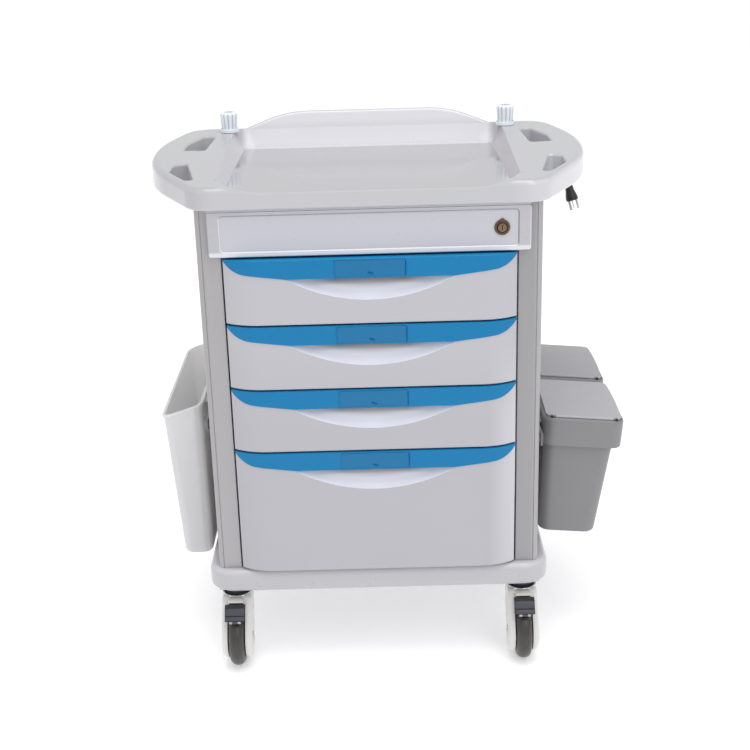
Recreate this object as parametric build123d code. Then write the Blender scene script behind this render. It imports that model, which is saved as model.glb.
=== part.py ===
from build123d import *
import math
import os

# A hospital crash cart: four extruded corner columns on a moulded base with four hooded
# casters, four drawers behind bowed fronts with blue pull bands, a central lock, a moulded
# worktop with carrying hand-holes and two pole sockets, one open bin on the left and two
# lidded bins on the right. Millimetres. X is the cart's right, Y its rear, Z up. The origin is
# on the floor under the middle of the cabinet.

os.makedirs("parts", exist_ok=True)

# ------------------------------------------------------------------ driving dimensions
# Cabinet: corner columns, panels and the frame that ties them under the worktop
BODY_WIDTH = 552.0
BODY_DEPTH = 450.0
COLUMN_FACE = 39.0
COLUMN_SIDE = 42.0
COLUMN_HEIGHT = 633.0
COLUMN_NOSE_RADIUS = 9.0
COLUMN_GROOVE = 1.6
COLUMN_GROOVE_INSET = 9.0
COLUMN_BORE_WIDTH = 27.0
COLUMN_BORE_DEPTH = 24.0
PANEL_THICKNESS = 3.0
PANEL_SLOT_DEPTH = 7.0
PANEL_CLEARANCE = 0.1
PANEL_INSET = 11.0
BACK_PANEL_INSET = 4.0
TOP_FRAME_BAR = 18.0

# Base moulding
BASE_OVERHANG_SIDE = 19.0
BASE_OVERHANG_END = 15.0
BASE_THICKNESS = 39.0
BASE_CORNER_RADIUS = 46.0
BASE_SHOULDER_RADIUS = 12.0
BASE_WALL = 9.0
BASE_PAD = 112.0
BASE_POCKET_DEPTH = 27.0

# Casters
CASTER_HEIGHT = 143.0
CASTER_INSET_SIDE = 44.5
CASTER_INSET_END = 44.0
CASTER_TRAIL = 35.0
WHEEL_RADIUS = 50.0
WHEEL_WIDTH = 26.0
WHEEL_HUB_WIDTH = 29.0
WHEEL_HUB_RADIUS = 20.0
WHEEL_TREAD_ROUND = 9.0
FORK_WIDTH = 52.0
FORK_SLOT = 31.0
FORK_SKIRT_RADIUS = 37.0
FORK_HEAD_LENGTH = 58.0
FORK_HEAD_HEIGHT = 30.0
FORK_EDGE_RADIUS = 8.0
WHEEL_GAP = 4.0
AXLE_RADIUS = 4.0
RUNNING_CLEARANCE = 0.05
KINGPIN_RADIUS = 6.0
KINGPIN_DEPTH = 20.0
CASTER_RING_RADIUS = 23.0
CASTER_RING_HEIGHT = 13.0
CASTER_RING_WALL = 5.0
CASTER_PLATE_THICKNESS = 3.5
CASTER_PLATE_SIDE = 60.0
PEDAL_WIDTH = 35.0
PEDAL_ARM_WIDTH = 24.0
PEDAL_THICKNESS = 5.0
PEDAL_PIVOT_FORWARD = 28.0
PEDAL_PIVOT_HEIGHT = 110.0
PEDAL_HUB_RADIUS = 6.0
PEDAL_PIN_RADIUS = 2.5

# Worktop moulding
WORKTOP_OVERHANG = 17.0
EAR_WIDTH = 98.0
EAR_REAR_WIDTH = 56.0
EAR_FRONT_SHARE = 0.19
EAR_REAR_SHARE = 0.427
EAR_SWELL = 0.977
HAND_HOLE_GAP = 8.0
HAND_HOLE_ROUND = 4.0
# Corners of the two openings in an ear: distance outside the cabinet, and share of its half depth.
FRONT_HOLE = [(3, -0.78), (14, -0.80), (49, -0.51), (49, -0.31), (28, -0.24)]
REAR_HOLE = [(10, 0.187), (27, 0.209), (48, 0.213), (45, 0.462), (21, 0.756), (3, 0.711)]
FRONT_HOLE_RADIUS = 6.5
REAR_HOLE_RADIUS = 8.0
DECK_FRONT_HEIGHT = 36.0
DECK_REAR_HEIGHT = 51.0
LIP_HEIGHT = 25.0
LIP_RISE = 3.0
LIP_FLAT_INSET = 94.0
LIP_RISE_INSET = 26.0
TRAY_FLOOR_HEIGHT = 17.0
TRAY_INSET = 27.0
TRAY_FRONT_LIP = 9.0
TRAY_WALL_SLOPE = 18.0
TRAY_FRONT_RADIUS = 58.0
TRAY_REAR_RADIUS = 24.0
BACKSPLASH_HEIGHT = 80.0
BACKSPLASH_THICKNESS = 13.0
BACKSPLASH_SHOULDER_INSET = 124.0
BACKSPLASH_FALL = 0.395
BACKSPLASH_FOOT_INSET = 30.0
WORKTOP_WALL = 6.0
WORKTOP_POCKET_DEPTH = 27.0

# Fascia and central lock
FASCIA_LAP = 18.5
FASCIA_HEIGHT = 73.0
FASCIA_THICKNESS = 11.0
FASCIA_TOP_GAP = 4.0
FASCIA_BORDER_SIDE = 20.5
FASCIA_BORDER_TOP = 6.5
FASCIA_BORDER_BOTTOM = 9.5
FASCIA_RECESS = 2.0
FASCIA_BEVEL = 1.7
FASCIA_WALL = 3.0
LOCK_FROM_COLUMN = 27.5
LOCK_BELOW_FASCIA_TOP = 35.0
LOCK_FLANGE_RADIUS = 12.5
LOCK_BODY_RADIUS = 9.5
LOCK_PLUG_RADIUS = 7.0
LOCK_CAM_RADIUS = 12.0
LOCK_PIN_RADIUS = 2.5
LOCK_SLOT_CLEARANCE = 0.5
LOCK_BAR_WIDTH = 8.0
LOCK_BAR_THICKNESS = 2.0
LOCK_STRIP_THICKNESS = 1.2
LOCK_TAB_HEIGHT = 12.0

# Drawers
DRAWER_GAP = 3.0
DRAWER_SMALL_HEIGHT = 107.3
DRAWER_SMALL_COUNT = 3
FRONT_DEPTH_INSIDE = 11.0
FRONT_END_BOW = 5.0
FRONT_MIDDLE_BOW = 23.0
FRONT_CURVE_WIDTH = 58.0
FRONT_EDGE_RADIUS = 2.5
BAND_HEIGHT = 31.0
BAND_PROUD = 1.2
BAND_DEPTH_INSIDE = 3.0
BAND_SHOULDER_INSET = 38.0
BAND_SHOULDER_DEPTH = 23.5
SMILE_INSET = 99.0
SMILE_DEPTH = 67.5
SCOOP_DEPTH = 17.0
PULL_INSET = 19.0
PULL_WALL = 4.5
PULL_TOP_WALL = 10.0
LABEL_HALF_WIDTH = 56.0
LABEL_THICKNESS = 1.6
LABEL_SEAT = 1.0
LABEL_NOTCH_RADIUS = 6.0
BOX_SIDE_GAP = 25.0
BOX_REAR_GAP = 35.0
BOX_WALL = 2.5
BOX_CORNER_RADIUS = 10.0
BOX_FLOOR_ABOVE_FRONT = 10.0
BOX_RIM_BELOW_FRONT = 14.0
RAIL_BELOW_FRONT = 26.0
RAIL_END_GAP = 27.0
RAIL_WALL = 1.8
RAIL_DEPTH = 11.0
RAIL_CLEARANCE = 0.3
RUNNER_THICKNESS = 6.0

# Pole sockets in the rear columns
POLE_RADIUS = 8.0
POLE_CLEARANCE = 0.1
SOCKET_WALL = 3.0
SOCKET_DEPTH = 110.0
SOCKET_FLANGE_RADIUS = 17.0
SOCKET_FLANGE_HEIGHT = 3.0
SOCKET_NECK_HEIGHT = 18.0
CLAMP_HEIGHT = 33.0
CLAMP_TOP_RADIUS = 16.0
CLAMP_FOOT_RADIUS = 14.2
CLAMP_GROOVES = 12
CLAMP_GROOVE_RADIUS = 1.8

# Bins on the cart's sides
BIN_RAIL_HEIGHT = 20.0
BIN_RAIL_THICKNESS = 4.0
BIN_RAIL_STANDOFF = 3.0
BIN_RAIL_END_GAP = 12.0
LEFT_RAIL_DROP = 361.0
RIGHT_RAIL_DROP = 403.0
BIN_WALL = 2.5
HOOK_WIDTH = 40.0
HOOK_THICKNESS = 2.4
HOOK_CLEARANCE = 0.3
LEFT_BIN_BASE_GAP = 1.0
LEFT_BIN_BELOW_BASE_TOP = 10.0
LEFT_BIN_BOTTOM_DEPTH = 50.0
LEFT_BIN_RIM_DEPTH = 67.0
LEFT_BIN_RIM_DROP = 12.0
LEFT_BIN_HEADROOM = 60.0
LEFT_BIN_RIM_SLOPE = 18.0
LEFT_BIN_RIM_WIDTH = 3.0
LEFT_BIN_RIM_THICKNESS = 3.5
LEFT_BIN_FRONT_GAP = 62.0
LEFT_BIN_REAR_GAP = 27.0
LEFT_BIN_HOOK_INSET = 55.0
LEFT_BIN_TAPER = 13.0
LEFT_BIN_CORNER = 16.0
WASTE_TILT = 5.0
WASTE_STANDOFF = 12.0
WASTE_TOP_ABOVE_RAIL = 18.0
WASTE_COLLAR_DEPTH = 141.0
WASTE_END_MARGIN = 25.0
WASTE_GAP = 8.0
WASTE_REAR_SHIFT = 18.0
WASTE_HOOK_OFFSET = 55.0
WASTE_COLLAR_HEIGHT = 50.0
WASTE_COLLAR_ROUND = 7.0
WASTE_CORNER_RADIUS = 24.0
WASTE_HEIGHT = 222.0
WASTE_OVERHANG = 7.0
WASTE_TAPER = 15.0
WASTE_LID_THICKNESS = 3.0
WASTE_LID_CROWN = 5.0
WASTE_HINGE_INSET = 9.0
WASTE_HINGE_RADIUS = 3.2
WASTE_PIN_RADIUS = 1.6

# Power strip, cord hooks, cord and plug at the rear
STRIP_LENGTH = 260.0
STRIP_HEIGHT = 48.0
STRIP_DEPTH = 40.0
STRIP_DROP = 101.0
SOCKET_OUTLETS = 3
SOCKET_PITCH = 62.0
OUTLET_RADIUS = 19.0
OUTLET_DEPTH = 4.0
CORD_DIAMETER = 7.0
RELIEF_LENGTH = 30.0
PEG_RADIUS = 24.0
PEG_INSET = 80.0
PEG_LEAD = 46.0
PEG_SPACING = 140.0
PEG_BORE_RADIUS = 18.0
CORD_LOOPS = 3
CORD_PITCH = 7.8
CORD_SEAT_GAP = 0.4
CLIP_OUTSIDE = 61.2
CLIP_INSIDE = 30.4
CLIP_DROP = 8.0
CLIP_HEADING = -35.7
CLIP_WIDTH = 8.0
CLIP_WALL = 2.0
CLIP_SLACK = 0.6
CLIP_RUN = 12.6
PLUG_OUTSIDE = 92.0
PLUG_INSIDE = 52.5
PLUG_DROP = 45.0
PLUG_LEAD = 25.0
PLUG_TILT = 18.0
PLUG_LENGTH = 46.0
PLUG_WIDTH = 27.0
PLUG_THICKNESS = 22.0
PLUG_PIN_LENGTH = 18.0

# ------------------------------------------------------------------ levels worked out from them
HALF_WIDTH = BODY_WIDTH / 2
HALF_DEPTH = BODY_DEPTH / 2
COLUMN_INNER_X = HALF_WIDTH - COLUMN_FACE
COLUMN_INNER_Y = HALF_DEPTH - COLUMN_SIDE
BASE_WIDTH = BODY_WIDTH + 2 * BASE_OVERHANG_SIDE
BASE_DEPTH = BODY_DEPTH + 2 * BASE_OVERHANG_END
CASTER_X = BASE_WIDTH / 2 - CASTER_INSET_SIDE
CASTER_Y = BASE_DEPTH / 2 - CASTER_INSET_END
BASE_TOP_Z = CASTER_HEIGHT + BASE_THICKNESS
WORKTOP_Z = BASE_TOP_Z + COLUMN_HEIGHT
WORKTOP_END = HALF_DEPTH + WORKTOP_OVERHANG
WORKTOP_HALF_WIDTH = HALF_WIDTH + EAR_WIDTH
FASCIA_TOP_Z = WORKTOP_Z - FASCIA_TOP_GAP
FASCIA_BOTTOM_Z = FASCIA_TOP_Z - FASCIA_HEIGHT
FASCIA_FRONT_Y = -HALF_DEPTH - FASCIA_THICKNESS
LOCK_X = COLUMN_INNER_X - LOCK_FROM_COLUMN
LOCK_Z = FASCIA_TOP_Z - LOCK_BELOW_FASCIA_TOP
PANEL_X = HALF_WIDTH - PANEL_INSET - PANEL_THICKNESS / 2
BACK_PANEL_Y = HALF_DEPTH - BACK_PANEL_INSET - PANEL_THICKNESS / 2
BACK_FACE_Y = BACK_PANEL_Y + PANEL_THICKNESS / 2
DRAWER_HALF_WIDTH = COLUMN_INNER_X - DRAWER_GAP
FRONT_END_Y = -HALF_DEPTH - FRONT_END_BOW
FRONT_MIDDLE_Y = -HALF_DEPTH - FRONT_MIDDLE_BOW
FRONT_BACK_Y = -HALF_DEPTH + FRONT_DEPTH_INSIDE
BAND_BACK_Y = -HALF_DEPTH + BAND_DEPTH_INSIDE
FRONT_FLAT_HALF = DRAWER_HALF_WIDTH - FRONT_CURVE_WIDTH
SMILE_HALF_WIDTH = DRAWER_HALF_WIDTH - SMILE_INSET
SMILE_SAG = SMILE_DEPTH - BAND_HEIGHT
SMILE_RADIUS = (SMILE_HALF_WIDTH ** 2 + SMILE_SAG ** 2) / (2 * SMILE_SAG)
PULL_HALF_WIDTH = SMILE_HALF_WIDTH - PULL_INSET
BOX_HALF_WIDTH = COLUMN_INNER_X - BOX_SIDE_GAP
BOX_REAR_Y = HALF_DEPTH - BOX_REAR_GAP
RAIL_END_Y = HALF_DEPTH - RAIL_END_GAP
POLE_X = HALF_WIDTH - COLUMN_FACE / 2
POLE_Y = HALF_DEPTH - COLUMN_SIDE / 2
DECK_SLOPE = (DECK_REAR_HEIGHT - DECK_FRONT_HEIGHT) / (2 * WORKTOP_END)
LEFT_RAIL_TOP_Z = WORKTOP_Z - LEFT_RAIL_DROP
RIGHT_RAIL_TOP_Z = WORKTOP_Z - RIGHT_RAIL_DROP
LEFT_BIN_BOTTOM_Z = BASE_TOP_Z - LEFT_BIN_BELOW_BASE_TOP
LEFT_BIN_RIM_Z = LEFT_RAIL_TOP_Z - LEFT_BIN_RIM_DROP
LEFT_BIN_INNER_X = BASE_WIDTH / 2 + LEFT_BIN_BASE_GAP
LEFT_BIN_RIM_X = LEFT_BIN_INNER_X + LEFT_BIN_RIM_DEPTH
WASTE_INNER_X = HALF_WIDTH + WASTE_STANDOFF
WASTE_TOP_Z = RIGHT_RAIL_TOP_Z + WASTE_TOP_ABOVE_RAIL
WASTE_COLLAR_LENGTH = (BODY_DEPTH - WASTE_GAP) / 2 - WASTE_END_MARGIN
FRONT_WASTE_Y = WASTE_REAR_SHIFT - (WASTE_COLLAR_LENGTH + WASTE_GAP) / 2
REAR_WASTE_Y = WASTE_REAR_SHIFT + (WASTE_COLLAR_LENGTH + WASTE_GAP) / 2
PEG_X = HALF_WIDTH - PEG_INSET
STRIP_X = PEG_X - PEG_LEAD - RELIEF_LENGTH - STRIP_LENGTH / 2
CLIP_X = HALF_WIDTH + CLIP_OUTSIDE
CLIP_Y = HALF_DEPTH - CLIP_INSIDE
STRIP_Z = WORKTOP_Z - STRIP_DROP
CORD_RADIUS = CORD_DIAMETER / 2
WRAP_RADIUS = PEG_RADIUS + CORD_RADIUS + CORD_SEAT_GAP
PEG_TOP_Z = STRIP_Z - WRAP_RADIUS
PEG_BOTTOM_Z = PEG_TOP_Z - PEG_SPACING
CLIP_Z = WORKTOP_Z - CLIP_DROP
AXLE_Z = WHEEL_RADIUS
FORK_TOP_Z = CASTER_HEIGHT - CASTER_PLATE_THICKNESS - CASTER_RING_HEIGHT - HOOK_CLEARANCE
CAM_TRAVEL = 2 * LOCK_CAM_RADIUS * math.sin(math.radians(45))

parts = {}


def block(x0, x1, y0, y1, z0, z1):
    """A box between two corners."""
    centre = Pos((x0 + x1) / 2, (y0 + y1) / 2, (z0 + z1) / 2)
    return centre * Box(abs(x1 - x0), abs(y1 - y0), abs(z1 - z0))


def across_x(radius, length, x, y, z):
    """A cylinder lying along X, centred on the point."""
    return Pos(x, y, z) * Rot(0, 90, 0) * Cylinder(radius, length)


def along_y(radius, length, x, y, z):
    """A cylinder lying along Y, centred on the point."""
    return Pos(x, y, z) * Rot(90, 0, 0) * Cylinder(radius, length)


def upright(radius, z0, z1, x, y):
    """A cylinder standing between two heights."""
    return Pos(x, y, (z0 + z1) / 2) * Cylinder(radius, z1 - z0)


def prism_x(face, x0, x1):
    """A Y-Z outline, drawn in the plane X = 0, stretched from x0 to x1."""
    return Pos(x0, 0, 0) * extrude(Plane.YZ * face, x1 - x0)


def prism_y(face, y0, y1):
    """An X-Z outline, drawn in the plane Y = 0, stretched from y0 to y1."""
    return Pos(0, y1, 0) * extrude(Plane.XZ * face, y1 - y0)


def rounded_block(x0, x1, y0, y1, z0, z1, radius):
    """A box whose four upright edges are rounded."""
    outline = RectangleRounded(abs(x1 - x0), abs(y1 - y0), radius)
    return extrude(Pos((x0 + x1) / 2, (y0 + y1) / 2, z0) * outline, z1 - z0)


def mirrored(shape):
    return mirror(shape, Plane.YZ)


def drawer_spans():
    """Bottom and top of each drawer front, from the fascia down to the base."""
    spans = []
    top = FASCIA_BOTTOM_Z - DRAWER_GAP
    for _ in range(DRAWER_SMALL_COUNT):
        spans.append((top - DRAWER_SMALL_HEIGHT, top))
        top -= DRAWER_SMALL_HEIGHT + DRAWER_GAP
    spans.append((BASE_TOP_Z + DRAWER_GAP, top))
    return spans


# ------------------------------------------------------------------ base
def make_base():
    outline = RectangleRounded(BASE_WIDTH, BASE_DEPTH, BASE_CORNER_RADIUS)
    base = extrude(Pos(0, 0, CASTER_HEIGHT) * outline, BASE_THICKNESS)
    base = fillet(base.edges().group_by(Axis.Z)[-1], BASE_SHOULDER_RADIUS)
    base = fillet(base.edges().group_by(Axis.Z)[0], 5)
    # The underside is hollow between the four caster pads.
    pocket_top = CASTER_HEIGHT + BASE_POCKET_DEPTH
    inner_x = BASE_WIDTH / 2 - BASE_WALL
    inner_y = BASE_DEPTH / 2 - BASE_WALL
    pad_x = BASE_WIDTH / 2 - BASE_PAD
    pad_y = BASE_DEPTH / 2 - BASE_PAD
    base -= block(-pad_x, pad_x, -inner_y, inner_y, CASTER_HEIGHT, pocket_top)
    base -= block(-inner_x, inner_x, -pad_y, pad_y, CASTER_HEIGHT, pocket_top)
    return base


# ------------------------------------------------------------------ columns, panels, top frame
def make_front_right_column():
    x0, x1 = COLUMN_INNER_X, HALF_WIDTH
    y0, y1 = -HALF_DEPTH, -COLUMN_INNER_Y
    nose = COLUMN_NOSE_RADIUS
    outline = FilletPolyline(
        (x0, y0), (x1, y0), (x1, y1), (x0, y1), radius=[0.8, nose, 0.8, 0.8], close=True)
    section = make_face(outline)
    section -= Pos(x1 - COLUMN_GROOVE_INSET, y0) * Rectangle(COLUMN_GROOVE, 2 * COLUMN_GROOVE)
    slot = PANEL_THICKNESS + 2 * PANEL_CLEARANCE
    section -= Pos(PANEL_X, y1) * Rectangle(slot, 2 * PANEL_SLOT_DEPTH)
    back_slot_y = -BACK_PANEL_Y
    section -= Pos(x0, back_slot_y) * Rectangle(2 * PANEL_SLOT_DEPTH, slot)
    section -= Pos(POLE_X, -POLE_Y) * RectangleRounded(COLUMN_BORE_WIDTH, COLUMN_BORE_DEPTH, 2)
    return Pos(0, 0, BASE_TOP_Z) * extrude(section, COLUMN_HEIGHT)


def make_side_panel():
    reach = COLUMN_INNER_Y + PANEL_SLOT_DEPTH - PANEL_CLEARANCE
    half = PANEL_THICKNESS / 2
    panel = block(PANEL_X - half, PANEL_X + half, -reach, reach, BASE_TOP_Z, WORKTOP_Z)
    return panel


def make_back_panel():
    reach = COLUMN_INNER_X + PANEL_SLOT_DEPTH - PANEL_CLEARANCE
    half = PANEL_THICKNESS / 2
    return block(-reach, reach, BACK_PANEL_Y - half, BACK_PANEL_Y + half, BASE_TOP_Z, WORKTOP_Z)


def make_top_frame():
    outer_y = RAIL_END_Y
    z0 = WORKTOP_Z - TOP_FRAME_BAR
    ring = block(-COLUMN_INNER_X, COLUMN_INNER_X, -outer_y, outer_y, z0, WORKTOP_Z)
    inner_x = COLUMN_INNER_X - TOP_FRAME_BAR
    inner_y = outer_y - TOP_FRAME_BAR
    return ring - block(-inner_x, inner_x, -inner_y, inner_y, z0, WORKTOP_Z)


# ------------------------------------------------------------------ worktop
def worktop_outline(inset=0.0):
    """Plan of the worktop: straight front and back, ears that swell towards the rear."""
    end, half = WORKTOP_END - inset, WORKTOP_HALF_WIDTH - inset
    front_x = HALF_WIDTH - inset
    rear_x = HALF_WIDTH + EAR_REAR_WIDTH - inset
    ear_front_y, ear_rear_y = -EAR_FRONT_SHARE * end, EAR_REAR_SHARE * end
    front_turn = math.atan2(half - front_x, end + ear_front_y)
    rear_turn = math.atan2(half - rear_x, end - ear_rear_y)
    # The two curves of an ear just meet on its side.
    swell = EAR_SWELL * (ear_rear_y - ear_front_y) / (math.tan(front_turn / 2) + math.tan(rear_turn / 2))
    points = [
        (-front_x, -end), (front_x, -end), (half, ear_front_y), (half, ear_rear_y),
        (rear_x, end), (-rear_x, end), (-half, ear_rear_y), (-half, ear_front_y)]
    radii = [45, 45, swell, swell, 55, 55, swell, swell]
    return make_face(FilletPolyline(*points, radius=radii, close=True))


def hand_holes(grow=0.0):
    """Two openings in each ear, split by a web at mid depth."""
    holes = []
    for side in (-1, 1):
        for corners, radius in ((FRONT_HOLE, FRONT_HOLE_RADIUS), (REAR_HOLE, REAR_HOLE_RADIUS)):
            points = [Vector(HALF_WIDTH + out, share * HALF_DEPTH) for out, share in corners]
            middle = sum(points, Vector()) / len(points)
            outline = []
            for point in points[::side]:
                moved = point + (point - middle).normalized() * grow
                outline.append((side * moved.X, moved.Y))
            holes.append(make_face(FilletPolyline(*outline, radius=radius, close=True)))
    return holes


def deck_plane():
    """The deck's top plane: it climbs gently from the front edge to the rear."""
    origin = Vector(0, -WORKTOP_END, WORKTOP_Z + DECK_FRONT_HEIGHT)
    return Plane(origin=origin, x_dir=(1, 0, 0), z_dir=Vector(0, -DECK_SLOPE, 1))


def deck_z(y):
    return WORKTOP_Z + DECK_FRONT_HEIGHT + DECK_SLOPE * (y + WORKTOP_END)


def backsplash_outline():
    """X-Z outline of the raised rear wall, with a long easy shoulder each side."""
    top = WORKTOP_Z + BACKSPLASH_HEIGHT
    foot_x = HALF_WIDTH - BACKSPLASH_FOOT_INSET
    shoulder_x = HALF_WIDTH - BACKSPLASH_SHOULDER_INSET
    foot = top - (foot_x - shoulder_x) * BACKSPLASH_FALL
    low = foot - 22
    points = [(-foot_x, low), (foot_x, low), (foot_x, foot), (shoulder_x, top),
              (-shoulder_x, top), (-foot_x, foot)]
    return make_face(FilletPolyline(*points, radius=[1, 1, 4, 215, 215, 4], close=True))


def lip_cut_outline():
    """X-Z outline of what is cut off over the front lip, so that it dips in the middle."""
    lip = WORKTOP_Z + LIP_HEIGHT
    high = WORKTOP_Z + DECK_FRONT_HEIGHT + 30
    rise = WORKTOP_Z + DECK_FRONT_HEIGHT + LIP_RISE
    end = HALF_WIDTH + 60
    rise_x, flat_x = HALF_WIDTH - LIP_RISE_INSET, HALF_WIDTH - LIP_FLAT_INSET
    points = [(-end, high), (-end, rise), (-rise_x, rise), (-flat_x, lip),
              (flat_x, lip), (rise_x, rise), (end, rise), (end, high)]
    radii = [1, 1, 150, 200, 200, 150, 1, 1]
    return make_face(FilletPolyline(*points, radius=radii, close=True))


def hole_rim(top, side, corners):
    """Edges where one hand-hole meets the deck."""
    xs = [side * (HALF_WIDTH + out) for out, share in corners]
    ys = [share * HALF_DEPTH for out, share in corners]

    def on_rim(edge):
        c = edge.center()
        inside = min(xs) - 1 < c.X < max(xs) + 1 and min(ys) - 1 < c.Y < max(ys) + 1
        return inside and abs(c.Z - deck_z(c.Y)) < 1

    return top.edges().filter_by(on_rim)


def tray_outline(half, front, rear, grow):
    """Plan of the sunk tray at one level: easy corners in front, tight ones at the backsplash."""
    points = [(-half, front), (half, front), (half, rear), (-half, rear)]
    near, far = TRAY_FRONT_RADIUS + grow, TRAY_REAR_RADIUS + grow
    return make_face(FilletPolyline(*points, radius=[near, near, far, far], close=True))


def make_worktop():
    blank = extrude(Pos(0, 0, WORKTOP_Z) * worktop_outline(), BACKSPLASH_HEIGHT + 10)
    blank = fillet(blank.edges().group_by(Axis.Z)[0], 5)
    top = split(blank, deck_plane(), keep=Keep.BOTTOM)
    rim = top.edges().filter_by(lambda e: abs(e.center().Z - deck_z(e.center().Y)) < 4)
    rim = rim.filter_by(lambda e: e.center().Z > WORKTOP_Z + 20)
    top = fillet(rim, 11)
    # Hand-holes through each ear, and the hollow underside.
    for hole in hand_holes():
        top -= Pos(0, 0, WORKTOP_Z - 5) * extrude(hole, DECK_REAR_HEIGHT + 20, dir=(0, 0, 1))
    for side in (-1, 1):
        for corners in (FRONT_HOLE, REAR_HOLE):
            top = fillet(hole_rim(top, side, corners), HAND_HOLE_ROUND)
    ear_start = HALF_WIDTH + 4
    hollow = extrude(Pos(0, 0, WORKTOP_Z) * worktop_outline(WORKTOP_WALL), WORKTOP_POCKET_DEPTH)
    hollow_front = FRONT_HOLE[-1][1] * HALF_DEPTH + HAND_HOLE_GAP
    hollow_rear = REAR_HOLE[0][1] * HALF_DEPTH - HAND_HOLE_GAP
    for side in (-1, 1):
        top -= hollow & block(side * ear_start, side * WORKTOP_HALF_WIDTH, hollow_front, hollow_rear,
                              WORKTOP_Z, WORKTOP_Z + WORKTOP_POCKET_DEPTH)
    # The front lip dips between the ears.
    top -= prism_y(lip_cut_outline(), -WORKTOP_END - 5, -WORKTOP_END + 60)
    # Backsplash along the rear edge.
    wall_front = WORKTOP_END - BACKSPLASH_THICKNESS
    wall = prism_y(backsplash_outline(), wall_front, WORKTOP_END - 1)
    wall = fillet(wall.edges().filter_by(lambda e: e.center().Z > deck_z(WORKTOP_END) + 2
                                         and e.length > 20), 4)
    # Sunk tray with sloping side walls.
    floor_z = WORKTOP_Z + TRAY_FLOOR_HEIGHT
    depth = DECK_REAR_HEIGHT - TRAY_FLOOR_HEIGHT + 6
    tray_front = -WORKTOP_END + TRAY_FRONT_LIP
    tray_half = HALF_WIDTH - TRAY_INSET
    tray_rear = wall_front
    upper = tray_outline(tray_half + 4, tray_front - 1, tray_rear + 1, 2)
    lower = tray_outline(tray_half - TRAY_WALL_SLOPE, tray_front + 4, tray_rear - 4, 0)
    tray = loft([Pos(0, 0, floor_z) * lower, Pos(0, 0, floor_z + depth) * upper])
    top -= tray
    top += wall
    # Bores for the pole sockets.
    for side in (-1, 1):
        top -= upright(POLE_RADIUS + POLE_CLEARANCE + SOCKET_WALL + POLE_CLEARANCE,
                       WORKTOP_Z - 5, WORKTOP_Z + 90, side * POLE_X, POLE_Y)
    return top


# ------------------------------------------------------------------ fascia and central lock
def make_fascia():
    front, back = FASCIA_FRONT_Y, -HALF_DEPTH
    middle_z = (FASCIA_TOP_Z + FASCIA_BOTTOM_Z) / 2
    width = 2 * (COLUMN_INNER_X + FASCIA_LAP)
    outline = Pos(0, middle_z) * RectangleRounded(width, FASCIA_HEIGHT, 5)
    fascia = prism_y(outline, front, back)
    fascia = fillet(fascia.edges().group_by(Axis.Y)[0], 2.5)
    recess_w = width - 2 * FASCIA_BORDER_SIDE
    recess_h = FASCIA_HEIGHT - FASCIA_BORDER_TOP - FASCIA_BORDER_BOTTOM
    recess_z = (FASCIA_TOP_Z - FASCIA_BORDER_TOP + FASCIA_BOTTOM_Z + FASCIA_BORDER_BOTTOM) / 2
    recess = Pos(0, recess_z) * RectangleRounded(recess_w, recess_h, 5)
    fascia -= prism_y(recess, front - 1, front + FASCIA_RECESS)
    rim = fascia.edges().group_by(Axis.Y)[0].filter_by(lambda e: abs(e.center().X) < recess_w / 2 + 1
                                                       and abs(e.center().Z - recess_z) < recess_h / 2 + 1)
    fascia = chamfer(rim, FASCIA_BEVEL)
    inside = Pos(0, middle_z) * Rectangle(2 * COLUMN_INNER_X, FASCIA_HEIGHT - 2 * FASCIA_WALL)
    fascia -= prism_y(inside, front + FASCIA_RECESS + FASCIA_WALL, back + 1)
    fascia -= along_y(LOCK_BODY_RADIUS + POLE_CLEARANCE, 60, LOCK_X, front, LOCK_Z)
    return fascia


def lock_levels():
    """Front of the escutcheon and rear of the lock body, along Y."""
    face = FASCIA_FRONT_Y + FASCIA_RECESS
    return face - 1.5, FRONT_BACK_Y + 1


def make_lock_housing():
    front, rear = lock_levels()
    face = FASCIA_FRONT_Y + FASCIA_RECESS
    flange = along_y(LOCK_FLANGE_RADIUS, face - front, LOCK_X, (face + front) / 2, LOCK_Z)
    flange = fillet(flange.edges().group_by(Axis.Y)[0], 1)
    body = along_y(LOCK_BODY_RADIUS, rear - face, LOCK_X, (face + rear) / 2, LOCK_Z)
    bore = LOCK_PLUG_RADIUS + RUNNING_CLEARANCE
    return flange + body - along_y(bore, 80, LOCK_X, front, LOCK_Z)


def cam_pin_point():
    """The cam pin sits 45 degrees above the lock's axis, on the right, when unlocked."""
    reach = LOCK_CAM_RADIUS * math.cos(math.radians(45))
    return LOCK_X + reach, LOCK_Z + reach


def make_lock_barrel():
    front, rear = lock_levels()
    front -= 0.6
    plug = along_y(LOCK_PLUG_RADIUS, rear + 0.3 - front, LOCK_X, (front + rear + 0.3) / 2, LOCK_Z)
    plug -= block(LOCK_X - 1, LOCK_X + 1, front - 1, front + 5, LOCK_Z - 4, LOCK_Z + 4)
    cam_rear = rear + 0.3 + LOCK_BAR_THICKNESS
    pin_x, pin_z = cam_pin_point()
    arm = make_hull((Pos(LOCK_X, LOCK_Z) * Circle(5) + Pos(pin_x, pin_z) * Circle(4)).edges())
    cam = prism_y(arm, rear + 0.3, cam_rear)
    pin_end = cam_rear + LOCK_BAR_THICKNESS + 4
    pin = along_y(LOCK_PIN_RADIUS, pin_end - cam_rear, pin_x, (cam_rear + pin_end) / 2, pin_z)
    return plug + cam + pin


def lock_bar_y():
    return FRONT_BACK_Y + 1 + 0.3 + LOCK_BAR_THICKNESS + 0.4


def catch_z(span):
    """Height of a drawer's lock catch, a little below the middle of its front."""
    bottom, top = span
    return (bottom + top) / 2 - 16


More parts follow.
